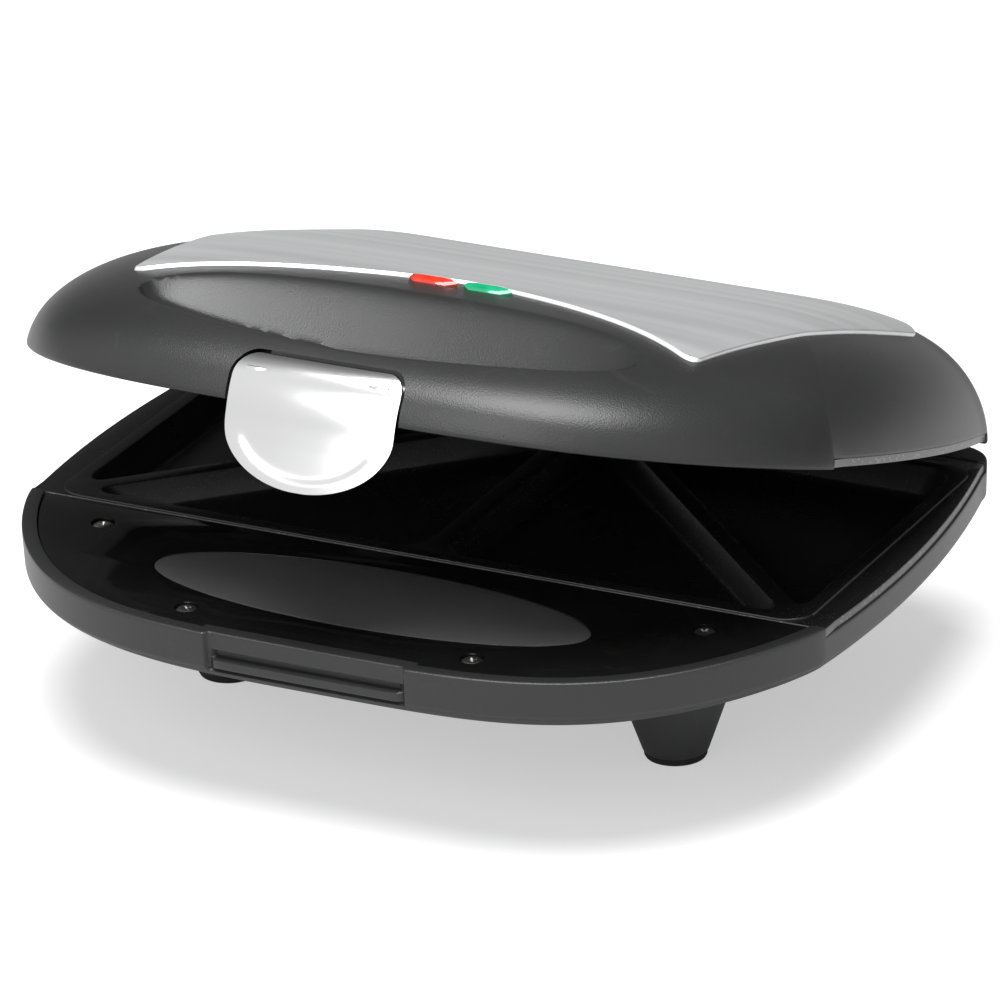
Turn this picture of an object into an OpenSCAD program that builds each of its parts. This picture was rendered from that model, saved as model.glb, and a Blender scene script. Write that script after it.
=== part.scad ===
// Sandwich toaster with a hinged lid, two pairs of grill pockets and a front latch.
// The cooking planes meet at parting_z, and the lid turns about a line behind the shells.
// The lid is drawn shut and then turned by lid_angle about that line.

/* [Overall] */
// width of both shells where the front curve starts
shell_width = 241; // [220:1:262]
// how far the curved front reaches ahead of the grill plates
bow_depth = 69.2; // [60:0.1:78]
// front to back length of the grill plates
plate_depth = 117.3; // [110:0.1:128]
// shells behind the grill plates
rear_margin = 12; // [11:0.5:18]
// ground to the plane where the shells part
parting_z = 53; // [50:0.5:60]
// height of the lid over the parting plane
dome_height = 33.5; // [31:0.5:38]
// opening of the lid as drawn
lid_angle = 18.2; // [0:0.1:80]
// space between the two halves when shut
parting_gap = 0.4; // [0.2:0.1:0.8]

/* [Shells] */
// thickness of both shells
wall = 2.5; // [2:0.1:3]
// outward curve of the sides
side_bulge = 5; // [3:0.1:6]
// narrowing of the sides towards the back
side_taper = 5.6; // [4:0.1:6]
// depth of the upright wall of the base
base_wall = 10; // [8:0.5:12]
// width of the lip around the front panels
front_lip = 4.3; // [4:0.1:5]
// half length of the thumb scoop
scoop_half = 78; // [66:1:82]
// roundness of the scoop's floor from its middle plane
scoop_depth = 11; // [8:0.5:12]

/* [Feet] */
// distance of each foot from the middle
foot_x = 68.5; // [55:0.5:76]
// radius of a foot at the ground
foot_radius = 9; // [7:0.5:10]
// thickness of the rubber pads
pad_height = 2; // [1.5:0.1:3]

/* [Grill plates] */
// thickness of the plate flange
flange = 2.8; // [2.4:0.1:3.2]
// depth of the pockets
pocket_depth = 8.5; // [6:0.5:9]
// metal under the pockets
plate_floor = 2.5; // [2:0.1:3]
// width of the ridges between the pockets
ridge = 3; // [2:0.1:4]
// distance of the flange edge from the shell's outside
plate_inset = 0.8; // [0.5:0.1:1.5]
// narrowest rim between a pocket and the shell's outside
pocket_margin = 2.6; // [2.6:0.1:4]
// radius of the heater tubes
heater_radius = 3.3; // [3:0.1:3.6]

/* [Front panels] */
// thickness of the front panels
panel_thickness = 2.8; // [2.4:0.1:3.2]
// half length of the oval inlay
inlay_half = 65; // [50:1:68]
// half depth of the oval inlay
inlay_depth = 19; // [14:0.5:20]
// radius of the panel screw heads
screw_head = 3.15; // [2.8:0.05:3.3]

/* [Hinge] */
// hinge line behind the rear wall
hinge_offset = 6; // [6:0.1:7]
// hinge line over the parting plane
hinge_rise = 2; // [1.5:0.1:3]
// radius of the hinge pins
pin_radius = 2.5; // [2:0.1:2.8]
// metal around the hinge pins
knuckle_wall = 3.3; // [2.6:0.1:3.3]
// running clearance around the hinge pins
pin_clearance = 0.06; // [0.03:0.01:0.1]
// distance of each hinge from the side of the shells
hinge_inset = 38.5; // [36:0.5:50]

/* [Latch] */
// half width of the latch
latch_half = 24.8; // [22:0.1:27]
// drop of the latch under the parting plane
latch_drop = 21; // [18:0.5:22]
// thickness of the latch
latch_wall = 2.4; // [2:0.1:2.6]
// opening of the latch as drawn
latch_angle = 0; // [0:1:30]

/* [Trim and lamps] */
// thickness of the metal trim plate
trim = 1; // [0.6:0.1:1.4]
// half width of the trim plate at its front
trim_half = 85; // [76:1:88]
// distance of each lamp from the middle
lamp_x = 8.3; // [8:0.1:12]
// length of each lamp lens
lamp_length = 14.6; // [12:0.1:15]

/* [Hidden] */
$fn = 48;
hair = 0.02;
fit = 0.2;
beyond = 300;
half_w = shell_width / 2;
hinge_x = half_w - hinge_inset;
knuckle_radius = pin_radius + knuckle_wall;
total_depth = bow_depth + plate_depth + rear_margin + hinge_offset + knuckle_radius;
front_y = -total_depth / 2;
plate_y = front_y + bow_depth;
plate_back = plate_y + plate_depth;
rear_y = plate_back + rear_margin;
hinge_y = rear_y + hinge_offset;
hinge_z = parting_z + hinge_rise;
base_top = parting_z - parting_gap / 2;
lid_bottom = parting_z + parting_gap / 2;
plate_mid_y = plate_y + plate_depth / 2;
block_depth = pocket_depth + plate_floor;
heater_drop = block_depth + 2 * heater_radius;
bow_fullness = 3.67;
bow_flatness = 0.83;
bow_steps = 12;
side_steps = 5;
corner_steps = 5;
layers = 10;
dome_end = 0.97;
side_power = 6.6;
side_squareness = 0.64;
front_power = 2;
front_squareness = 0.36;
rear_power = 4.9;
rear_squareness = 0.35;
apex_y = plate_y + 80.5;
belly_z = 14.5;
belly_inset = 0.5;
wall_draft = 0.003;
belly_power = 1.43;
belly_layers = 8;
side_top = base_top - flange;
lid_side_bottom = lid_bottom + flange;
rear_deck = 4.1;
pocket_front = plate_y + 2;
pocket_back = plate_y + 114;
pocket_side = half_w - side_taper - pocket_margin;
pocket_round = 8;
pocket_draft = 5;
bead = 0.6;
lug_x = pocket_side - 18.3;
lug_front = plate_y + 16;
lug_back = plate_y + 100;
lug_radius = 5;
lug_length = 6;
stud_radius = 1.6;
access_radius = 3.8;
screw_shank = 1.4;
front_screws = [[half_w - 29.5, plate_y - 12.7], [42.7, plate_y - 54]];
inlay_y = plate_y - 29.4;
screw_reach = 8;
recess_half = 30;
recess_depth = 1.6;
groove_drop = 6.6;
scoop_y = plate_y - 31;
scoop_reach = 27;
scoop_z = lid_bottom + 24;
scoop_tilt = 21;
pivot_y = plate_y - 62.6;
pivot_z = lid_bottom + 8.2;
latch_pin_radius = 1.5;
latch_barrel = 2.6;
latch_top = 13.2;
latch_room = 0.85;
lug_gap = 0.3;
latch_lug_x = latch_half - 3.1;
trim_front = plate_y + 17;
trim_sweep = 36;
trim_curve = 1.5;
trim_back = plate_back;
trim_flare = 10;
trim_round = 14;
trim_run = trim_back - trim_round - trim_front + trim_sweep;
lamp_y = plate_y + 13.2;
lamp_z = lid_bottom + 30.5;
lamp_tilt = 17;
heater_reach = 56;
heater_spread = 30;
heater_end = 78;
gland_x = -48;
gland_z = parting_z - 17;
barrel_length = 19;
barrel_bore = 3.2;
cable_radius = 2.2;
cable_x = 23;
cable_drop = 11;
leaf = 2.6;
knuckle_length = 8;
knuckle_gap = 0.3;
foot_front_y = plate_y + 15;
foot_back_y = plate_y + 98;
reflector_half = 72;
reflector_reach = heater_spread + 2 * heater_radius;
reflector_thickness = 1;

// which piece to build

function bow_side() = [for (i = [0:bow_steps]) let (t = 90 * i / bow_steps)
    [half_w * pow(sin(t), 2 / bow_fullness),
     plate_y - bow_depth * pow(cos(t), 2 * bow_flatness)]];
function long_side() = [for (i = [1:side_steps]) let (t = i / side_steps)
    [half_w - side_taper * t + side_bulge * 4 * t * (1 - t), plate_y + plate_depth * t]];
function rear_corner() = [for (i = [1:corner_steps]) let (t = 90 * i / corner_steps)
    [half_w - side_taper + rear_margin * (cos(t) - 1), plate_back + rear_margin * sin(t)]];
function half_outline() = concat(bow_side(), long_side(), rear_corner());
function whole_outline() = let (h = half_outline(), n = len(h))
    concat(h, [for (i = [n - 1:-1:1]) [-h[i][0], h[i][1]]]);
function lid_side_scale(s) = pow(1 - pow(s, 1 / side_squareness), 1 / side_power);
function lid_front_scale(s) = pow(1 - pow(s, 1 / front_squareness), 1 / front_power);
function lid_rear_scale(s) = pow(1 - pow(s, 1 / rear_squareness), 1 / rear_power);

module outline(side = 1, front = 1, rear = 1) {
    polygon([for (p = whole_outline())
        [p[0] * side, apex_y + (p[1] - apex_y) * (p[1] < apex_y ? front : rear)]]);
}

module lid_slice(k, inset, drop) {
    s = sin(90 * dome_end * k / layers);
    translate([0, 0, lid_bottom + dome_height * s - drop])
        linear_extrude(hair)
            offset(delta = -inset)
                outline(lid_side_scale(s), lid_front_scale(s), lid_rear_scale(s));
}

module lid_solid(inset = 0, drop = 0) {
    for (k = [0:layers - 1])
        hull() {
            lid_slice(k, inset, drop);
            lid_slice(k + 1, inset, drop);
        }
}

module base_slice(k, inset, lift) {
    u = max(k - 1, 0) / belly_layers;
    side = 1 - wall_draft * min(k, 1) - belly_inset * pow(u, belly_power);
    depth = k == 0 ? 0 : base_wall + (base_top - base_wall - belly_z) * u;
    translate([0, 0, base_top - depth + lift - hair])
        linear_extrude(hair)
            offset(delta = -inset)
                outline(side, side, 1);
}

module base_solid(inset = 0, lift = 0) {
    for (k = [0:belly_layers])
        hull() {
            base_slice(k, inset, lift);
            base_slice(k + 1, inset, lift);
        }
}

module front_ring(outer, inner) {
    difference() {
        offset(delta = -outer)
            outline();
        offset(delta = -inner)
            outline();
        translate([-beyond / 2, plate_y + 2 * fit])
            square(beyond);
    }
}

module rear_deck_shape() {
    intersection() {
        offset(delta = -wall / 2)
            outline();
        translate([-beyond / 2, plate_back + 2.6])
            square(beyond);
    }
}

module plate_shape() {
    intersection() {
        offset(delta = -plate_inset)
            outline();
        translate([-beyond / 2, plate_y + fit])
            square([beyond, plate_depth + 2.5]);
    }
}

// everything the grill plate's flange needs clear of the side walls
module plate_room(z) {
    translate([-beyond / 2, plate_y + fit / 2, z])
        cube([beyond, plate_depth + 3, beyond]);
}

module at_lugs() {
    for (x = [-lug_x, lug_x], y = [lug_front, lug_back])
        translate([x, y, 0])
            children();
}

module at_panel_screws() {
    for (side = [-1, 1], p = front_screws)
        translate([side * p[0], p[1], 0])
            children();
}

module at_feet() {
    for (x = [-foot_x, foot_x], y = [foot_front_y, foot_back_y])
        translate([x, y, 0])
            children();
}

module as_lid() {
    translate([0, hinge_y, hinge_z])
        rotate([-lid_angle, 0, 0])
            translate([0, -hinge_y, -hinge_z])
                children();
}

// turns a piece of the base into its twin in the lid
module over_parting() {
    translate([0, 0, 2 * parting_z])
        mirror([0, 0, 1])
            children();
}

module along_x(radius, from, to) {
    translate([from, 0, 0])
        rotate([0, 90, 0])
            cylinder(r = radius, h = to - from);
}

module along_y(radius, from, to) {
    translate([0, from, 0])
        rotate([-90, 0, 0])
            cylinder(r = radius, h = to - from);
}

// what stays solid inside the base: rings, ledges, posts and the rear deck
module base_inside(post_top, panel_bottom) {
    translate([0, 0, base_top - 10])
        linear_extrude(20)
            front_ring(0.5, front_lip);
    translate([0, 0, panel_bottom - 2])
        linear_extrude(2)
            front_ring(0.5, front_lip + 4);
    translate([-recess_half - 2, front_y, panel_bottom - 6])
        cube([2 * recess_half + 4, front_lip + 1.6, beyond]);
    translate([0, 0, base_top - rear_deck])
        linear_extrude(20)
            rear_deck_shape();
    at_lugs()
        cylinder(r = lug_radius + 1.4, h = post_top, $fn = 32);
    at_panel_screws()
        cylinder(r = 4, h = panel_bottom);
}

// catch recess in the front wall, with a lip bar under its groove
module catch_recess() {
    difference() {
        translate([-recess_half, front_y - 5, base_top - 11])
            cube([2 * recess_half, 5 + recess_depth, 20]);
        translate([-recess_half + 1, front_y + 0.6, base_top - 10.6])
            cube([2 * recess_half - 2, recess_depth, 2.7]);
    }
    translate([-recess_half + 1, front_y, base_top - groove_drop - 0.9])
        cube([2 * recess_half - 2, recess_depth + 1.4, 1.8]);
}

module base_shell() {
    post_top = base_top - block_depth - lug_length;
    panel_bottom = base_top - 0.6 - panel_thickness;
    color("dimgray")
    difference() {
        base_solid();
        difference() {
            base_solid(wall, wall);
            base_inside(post_top, panel_bottom);
        }
        plate_room(side_top);
        at_lugs() {
            cylinder(r = stud_radius + 0.3, h = beyond);
            translate([0, 0, -1])
                cylinder(r = access_radius, h = post_top - 2, $fn = 20);
        }
        at_panel_screws()
            translate([0, 0, panel_bottom - screw_reach])
                cylinder(r = screw_shank, h = beyond);
        at_feet()
            cylinder(r = screw_shank, h = beyond / 9);
        catch_recess();
        translate([gland_x, 0, gland_z])
            along_y(6, rear_y - 15, rear_y + 5);
        translate([-cable_x, 0, hinge_z - cable_drop])
            along_y(cable_radius + fit, rear_y - 15, rear_y + 5);
        for (side = [-1, 1], x = [-10, 10])
            translate([side * hinge_x + x, 0, hinge_z - 14])
                along_y(screw_shank, rear_y - 15, rear_y + 5);
    }
}

module panel_shape() {
    difference() {
        intersection() {
            offset(delta = -front_lip - fit)
                outline();
            translate([-beyond / 2, plate_y - beyond])
                square([beyond, beyond - fit]);
        }
        translate([-recess_half - 2 - fit, front_y])
            square([2 * recess_half + 4 + 2 * fit, front_lip + 1.6 + fit]);
    }
}

module inlay_shape(room) {
    translate([0, inlay_y])
        scale([inlay_half + room, inlay_depth + room])
            circle(1, $fn = 96);
}

module base_front_panel() {
    top = base_top - 0.6;
    color("black")
    difference() {
        translate([0, 0, top - panel_thickness])
            linear_extrude(panel_thickness)
                panel_shape();
        translate([0, 0, top - 1])
            linear_extrude(5)
                inlay_shape(fit / 2);
        at_panel_screws() {
            translate([0, 0, top - panel_thickness - 1])
                cylinder(r = screw_shank + 0.3, h = 9);
            translate([0, 0, top - 1.7])
                cylinder(r = screw_head + fit, h = 5);
        }
    }
}

module base_panel_inlay() {
    color("darkslategray")
        translate([0, 0, base_top - 1.6])
            linear_extrude(0.9)
                inlay_shape(0);
}

module cross_slot(size) {
    for (turn = [0, 90])
        rotate([0, 0, turn + 20])
            translate([-size / 2, -size / 10, 0])
                cube([size, size / 5, size]);
}

module base_panel_screws() {
    seat = base_top - 2.3;
    color("silver")
        at_panel_screws()
            difference() {
                union() {
                    translate([0, 0, seat])
                        cylinder(r = screw_head, h = 1.4);
                    translate([0, 0, seat - screw_reach])
                        cylinder(r = screw_shank, h = screw_reach + 0.5);
                }
                translate([0, 0, seat + 0.7])
                    cross_slot(3.6);
            }
}

module pocket_triangle(corners) {
    offset(r = pocket_round / 2)
        offset(delta = -pocket_round / 2 - ridge / 2)
            polygon(corners);
}

module pocket(corners) {
    hull() {
        translate([0, 0, hair])
            linear_extrude(hair)
                pocket_triangle(corners);
        translate([0, 0, -pocket_depth])
            linear_extrude(hair)
                offset(delta = -pocket_draft)
                    pocket_triangle(corners);
    }
}

module bead_shape() {
    side = pocket_side + ridge / 2;
    offset(r = pocket_round)
        offset(delta = -pocket_round)
            translate([-side, pocket_front - ridge / 2])
                square([2 * side, pocket_back - pocket_front + ridge]);
}

// a grill plate with its cooking face at z = 0, seen from above
module grill_plate() {
    difference() {
        union() {
            translate([0, 0, -flange])
                linear_extrude(flange - bead)
                    plate_shape();
            translate([0, 0, -flange])
                linear_extrude(flange)
                    bead_shape();
            hull() {
                translate([0, 0, -flange])
                    linear_extrude(hair)
                        offset(delta = -1)
                            bead_shape();
                translate([0, 0, -block_depth])
                    linear_extrude(hair)
                        offset(delta = -7)
                            bead_shape();
            }
            at_lugs()
                translate([0, 0, -block_depth - lug_length])
                    cylinder(r = lug_radius, h = lug_length + 0.5);
        }
        for (side = [-1, 1]) {
            pocket([[side * pocket_side, pocket_front], [0, pocket_front], [0, pocket_back]]);
            pocket([[side * pocket_side, pocket_front], [0, pocket_back],
                [side * pocket_side, pocket_back]]);
        }
        at_lugs()
            translate([0, 0, -block_depth - lug_length - 1])
                cylinder(r = stud_radius, h = lug_length + 1);
    }
}

module lower_plate() {
    color("dimgray")
        translate([0, 0, base_top])
            grill_plate();
}

// a heater tube whose top rests on the plane z = 0
module heater_tube() {
    translate([0, plate_mid_y, -heater_radius]) {
        translate([heater_reach, 0, 0])
            rotate([0, 0, -90])
                rotate_extrude(angle = 180)
                    translate([heater_spread, 0])
                        circle(heater_radius, $fn = 32);
        for (y = [-heater_spread, heater_spread])
            translate([0, y, 0]) {
                along_x(heater_radius, -heater_end, heater_reach);
                along_x(heater_radius / 2, -heater_end - 7, -heater_end);
            }
    }
}

module lower_heater() {
    color("gray")
        translate([0, 0, base_top - block_depth])
            heater_tube();
}

// a sheet with turned front and back edges, its face at z = 0
module reflector_tray() {
    translate([-reflector_half, plate_mid_y - reflector_reach, -reflector_thickness])
        cube([2 * reflector_half, 2 * reflector_reach, reflector_thickness]);
    for (y = [-reflector_reach, reflector_reach - reflector_thickness])
        translate([-reflector_half, plate_mid_y + y, -hair])
            cube([2 * reflector_half, reflector_thickness, 2.5]);
}

module lower_reflector() {
    color("silver")
        translate([0, 0, base_top - heater_drop])
            reflector_tray();
}

// the four screws of a grill plate, drawn as for the base
module plate_screws() {
    seat = base_top - block_depth - lug_length - 3;
    at_lugs()
        difference() {
            union() {
                translate([0, 0, seat - 2])
                    cylinder(r = 3.4, h = 2);
                translate([0, 0, seat - 0.5])
                    cylinder(r = stud_radius, h = 8.5);
            }
            translate([0, 0, seat - 2 - 2.6])
                cross_slot(3.6);
        }
}

module lower_plate_screws() {
    color("silver")
        plate_screws();
}

module feet() {
    color("dimgray")
    difference() {
        at_feet()
            difference() {
                translate([0, 0, pad_height])
                    cylinder(r1 = foot_radius, r2 = foot_radius + 11, h = 32, $fn = 30);
                translate([0, 0, pad_height - 1])
                    cylinder(r = 4, h = 8);
                cylinder(r = screw_shank + 0.3, h = beyond / 5);
            }
        base_solid();
    }
}

module foot_pads() {
    color("black")
        at_feet()
            rotate_extrude()
                polygon([[4, 0], [foot_radius - 1.2, 0], [foot_radius - 0.2, 0.9],
                    [foot_radius, pad_height], [4, pad_height]]);
}

module foot_screws() {
    seat = pad_height + 7;
    color("silver")
        at_feet()
            difference() {
                union() {
                    translate([0, 0, seat - 2])
                        cylinder(r = 3.2, h = 2);
                    translate([0, 0, seat - 0.5])
                        cylinder(r = screw_shank, h = 14);
                }
                translate([0, 0, seat - 2 - 2.6])
                    cross_slot(3.6);
            }
}

module cord_gland() {
    color("black")
        translate([gland_x, 0, gland_z])
            difference() {
                union() {
                    along_y(5.9, rear_y - 8, rear_y + 0.5);
                    along_y(8.5, rear_y, rear_y + 2.5);
                    along_y(6.4, rear_y, rear_y + 7);
                }
                along_y(3.5, rear_y - 9, rear_y + 8);
            }
}

module terminal_block() {
    floor_z = belly_z + wall;
    color("ivory")
        translate([-49, rear_y - 34, floor_z])
            difference() {
                cube([30, 12, 11]);
                for (x = [5, 15, 25])
                    translate([x, 6, 6])
                        along_y(1.8, -7, 7);
                for (x = [5, 15, 25])
                    translate([x, 6, 8])
                        cylinder(r = 2, h = 4);
            }
}

module thermal_fuse() {
    color("khaki")
        translate([-20, plate_mid_y, base_top - heater_drop - reflector_thickness - 2.1]) {
            along_x(2.1, -6, 6);
            along_x(0.6, -14, 14);
        }
}

// a wire through a list of points
module wire(path, radius) {
    for (i = [0:len(path) - 2])
        hull() {
            translate(path[i])
                sphere(radius, $fn = 8);
            translate(path[i + 1])
                sphere(radius, $fn = 8);
        }
}

module base_wires() {
    fuse_z = base_top - heater_drop - reflector_thickness - 2.1;
    heater_z = base_top - block_depth - heater_radius;
    block_y = rear_y - 34;
    low_z = belly_z + wall + 6;
    end_x = -heater_end - 8.4;
    color("firebrick") {
        wire([[gland_x, rear_y - 9.5, gland_z], [-45, rear_y - 16, low_z + 6],
            [-44, block_y + 13, low_z], [-44, block_y + 9, low_z]], 1.1);
        wire([[-44, block_y + 3, low_z], [-44, block_y - 2, low_z], [-60, block_y - 10, low_z + 5],
            [-84, plate_mid_y + heater_spread, fuse_z - 0.5],
            [end_x - 3, plate_mid_y + heater_spread, heater_z - 4],
            [end_x, plate_mid_y + heater_spread, heater_z]], 1.1);
        wire([[-34, block_y + 3, low_z], [-34, block_y - 2, low_z], [-36, plate_mid_y + 6, low_z + 4],
            [-35.6, plate_mid_y, fuse_z - 0.4]], 1);
        wire([[-4.6, plate_mid_y, fuse_z - 0.4], [-30, plate_mid_y - 20, fuse_z - 3],
            [-84, plate_mid_y - heater_spread, fuse_z - 0.5],
            [end_x - 3, plate_mid_y - heater_spread, heater_z - 4],
            [end_x, plate_mid_y - heater_spread, heater_z]], 1);
        wire([[-24, block_y + 9, low_z], [-24, block_y + 13, low_z], [-24, rear_y - 14, low_z + 8],
            [-cable_x, rear_y - 9.8, hinge_z - cable_drop]], 1.1);
    }
}

// the two fixed knuckles of one hinge with their leaf
module base_hinge_bracket() {
    difference() {
        union() {
            for (x = [-2 * knuckle_length, knuckle_length]) {
                translate([0, hinge_y, hinge_z])
                    along_x(knuckle_radius, x, x + knuckle_length);
                translate([x, rear_y, hinge_z - 18])
                    cube([knuckle_length, leaf, 18]);
            }
            translate([-2 * knuckle_length, rear_y, hinge_z - 18])
                cube([4 * knuckle_length, leaf, 18 - knuckle_radius - 1]);
        }
        translate([0, hinge_y, hinge_z])
            along_x(pin_radius, -beyond / 4, beyond / 4);
        for (x = [-10, 10])
            translate([x, 0, hinge_z - 14])
                along_y(screw_shank + fit, rear_y - 1, rear_y + 9);
    }
}

module base_hinge_brackets() {
    color("slategray")
        for (x = [-hinge_x, hinge_x])
            translate([x, 0, 0])
                base_hinge_bracket();
}

module rear_screws(drop) {
    for (side = [-1, 1], x = [-10, 10])
        translate([side * hinge_x + x, 0, hinge_z + drop])
            difference() {
                union() {
                    along_y(2.8, rear_y + leaf, rear_y + leaf + 1.8);
                    along_y(screw_shank, rear_y - 6, rear_y + leaf + 0.5);
                }
                translate([0, rear_y + leaf + 1, 0])
                    rotate([-90, 0, 0])
                        cross_slot(3);
            }
}

module base_hinge_screws() {
    color("silver")
        rear_screws(-14);
}

module hinge_pins() {
    reach = 2 * knuckle_length;
    color("silver")
        for (x = [-hinge_x, hinge_x])
            translate([x, hinge_y, hinge_z]) {
                along_x(pin_radius, -reach, reach);
                along_x(pin_radius + 1, -reach - 1, -reach);
            }
}

module cable_barrel(from, to, low, high) {
    difference() {
        union() {
            translate([0, hinge_y, hinge_z])
                along_x(knuckle_radius, from, to);
            translate([from, rear_y, hinge_z + low])
                cube([to - from, leaf, high - low]);
        }
        translate([0, hinge_y, hinge_z])
            along_x(barrel_bore, from - 1, to + 1);
    }
}

module base_cable_barrel() {
    color("dimgray")
        cable_barrel(-barrel_length, -knuckle_gap, -18, 0);
}

// cable from the hinge line into a shell, on the side and level given
module harness(side, level) {
    wire([[side * cable_x, rear_y - 6, hinge_z + level],
        [side * cable_x, rear_y + 2, hinge_z + level],
        [side * cable_x, hinge_y, hinge_z + level * 0.5],
        [side * (cable_x - 1), hinge_y, hinge_z]], cable_radius);
    translate([0, hinge_y, hinge_z])
        along_x(cable_radius, side < 0 ? -cable_x + 1 : fit, side < 0 ? -fit : cable_x - 1);
}

module base_harness() {
    color("black")
        harness(-1, -cable_drop);
}

module latch_face_shape(room) {
    offset(delta = room)
        hull() {
            for (side = [-1, 1])
                translate([side * (latch_half - 6), latch_top - 6])
                    circle(6, $fn = 32);
            translate([0, -4])
                scale([latch_half, latch_drop - 4])
                    circle(1, $fn = 64);
        }
}

// stands a face drawn as x and height upright in front of the lid
module stand_up(from, to) {
    translate([0, to, lid_bottom])
        rotate([90, 0, 0])
            linear_extrude(to - from)
                children();
}

module lamp_frame(side) {
    translate([side * lamp_x, lamp_y, lamp_z])
        rotate([lamp_tilt, 0, 0])
            children();
}

module lens_shape(room) {
    half = lamp_length / 2 + room;
    deep = 2.6 + room;
    polygon([[-half, 0], [-half + 2.6, -deep], [half - 2.6, -deep], [half, 0],
        [half - 2.6, deep], [-half + 2.6, deep]]);
}

module scoop(grow) {
    hull()
        for (lift = [0, dome_height])
            translate([0, scoop_y, scoop_z + lift])
                rotate([scoop_tilt, 0, 0])
                    scale([scoop_half + grow, scoop_reach + grow, scoop_depth + grow])
                        sphere(1, $fn = 44);
}

// what stays solid inside the lid: scoop skin, rings, ledges, posts and the rear deck
module lid_inside(post_bottom, panel_top) {
    scoop(wall);
    translate([0, 0, lid_bottom - 10])
        linear_extrude(16)
            front_ring(0.5, front_lip);
    translate([0, 0, panel_top])
        linear_extrude(2)
            front_ring(0.5, front_lip + 4);
    translate([0, 0, lid_bottom - 10])
        linear_extrude(rear_deck + 10)
            rear_deck_shape();
    at_lugs()
        translate([0, 0, post_bottom])
            cylinder(r = lug_radius + 1.4, h = beyond);
    at_panel_screws()
        translate([0, 0, panel_top])
            cylinder(r = 4, h = beyond);
}

module latch_opening() {
    stand_up(front_y - 9, pivot_y + 5)
        union() {
            latch_face_shape(latch_room);
            translate([-latch_half - latch_room, -9])
                square([2 * (latch_half + latch_room), 12]);
        }
}

module lid_shell() {
    panel_top = lid_bottom + 0.6 + panel_thickness;
    post_bottom = lid_bottom + block_depth + lug_length;
    color("dimgray")
    as_lid()
    difference() {
        lid_solid();
        difference() {
            lid_solid(wall, wall);
            lid_inside(post_bottom, panel_top);
        }
        scoop(0);
        translate([0, 0, lid_side_bottom])
            mirror([0, 0, 1])
                plate_room(0);
        at_lugs()
            translate([0, 0, post_bottom - 1])
                cylinder(r = stud_radius, h = 5);
        at_panel_screws()
            translate([0, 0, panel_top - 1])
                cylinder(r = screw_shank, h = screw_reach + 0.5);
        latch_opening();
        for (side = [-1, 1])
            lamp_frame(side)
                translate([0, 0, -8])
                    linear_extrude(20)
                        lens_shape(0.1);
        translate([cable_x, 0, hinge_z + cable_drop])
            along_y(cable_radius + fit, rear_y - 15, rear_y + 5);
        for (side = [-1, 1], x = [-4, 4])
            translate([side * hinge_x + x, 0, hinge_z + 11])
                along_y(screw_shank, rear_y - 15, rear_y + 5);
    }
}

function trim_edge(x) = trim_front - trim_sweep * pow(abs(x) / trim_half, trim_curve);

function trim_side() = [for (i = [1:5]) let (t = i / 6)
    [trim_half + trim_flare * sin(90 * t), trim_edge(trim_half) + t * trim_run]];
function trim_corner() = [for (i = [0:4]) let (t = 22.5 * i)
    [trim_half + trim_flare - trim_round * (1 - cos(t)),
     trim_back - trim_round * (1 - sin(t))]];

module trim_shape() {
    half = concat(trim_side(), trim_corner());
    offset(r = 3)
        offset(delta = -3)
            polygon(concat(
                [for (i = [-10:10]) [trim_half * i / 10, trim_edge(trim_half * i / 10)]],
                half,
                [for (i = [len(half) - 1:-1:0]) [-half[i][0], half[i][1]]]));
}

module lid_trim_plate() {
    color("silver")
    as_lid()
    difference() {
        intersection() {
            lid_solid(0, -trim);
            translate([0, 0, lid_bottom])
                linear_extrude(beyond)
                    trim_shape();
        }
        lid_solid(0, -hair);
        for (side = [-1, 1])
            lamp_frame(side)
                translate([0, 0, -8])
                    linear_extrude(20)
                        lens_shape(0.1);
    }
}

module lens(side) {
    as_lid()
        lamp_frame(side) {
            translate([0, 0, -5])
                linear_extrude(6)
                    lens_shape(0);
            hull() {
                translate([0, 0, 1])
                    linear_extrude(hair)
                        lens_shape(0);
                translate([0, 0, 1.9])
                    linear_extrude(hair)
                        lens_shape(-1.1);
            }
        }
}

module red_lamp_lens() {
    color("red")
        lens(-1);
}

module green_lamp_lens() {
    color("green")
        lens(1);
}

module lamp_holder() {
    color("ivory")
        as_lid()
            translate([0, lamp_y, lamp_z])
                rotate([lamp_tilt, 0, 0])
                    translate([-19, -5.5, -11])
                        cube([38, 11, 1.6]);
}

module neon_lamps() {
    color("orange")
        as_lid()
            for (side = [-1, 1])
                lamp_frame(side)
                    translate([0, 0, -9.4])
                        cylinder(r = 2.2, h = 4.3);
}

module upper_plate() {
    color("dimgray")
        as_lid()
            translate([0, 0, lid_bottom])
                mirror([0, 0, 1])
                    grill_plate();
}

module upper_heater() {
    color("gray")
        as_lid()
            translate([0, 0, lid_bottom + block_depth])
                mirror([0, 0, 1])
                    heater_tube();
}

module upper_reflector() {
    color("silver")
        as_lid()
            translate([0, 0, lid_bottom + heater_drop])
                mirror([0, 0, 1])
                    reflector_tray();
}

module upper_plate_screws() {
    top = lid_bottom + block_depth + lug_length;
    color("silver")
        as_lid()
            at_lugs()
                translate([0, 0, top - 5])
                    cylinder(r = stud_radius, h = 8.5);
}

module thermostat() {
    color("ivory")
        as_lid()
            translate([0, plate_mid_y, lid_bottom + block_depth]) {
                cylinder(r = 8, h = 5.4);
                for (x = [-10, 10])
                    translate([x - 3, -3, 1])
                        cube([6, 6, 1]);
            }
}

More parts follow.
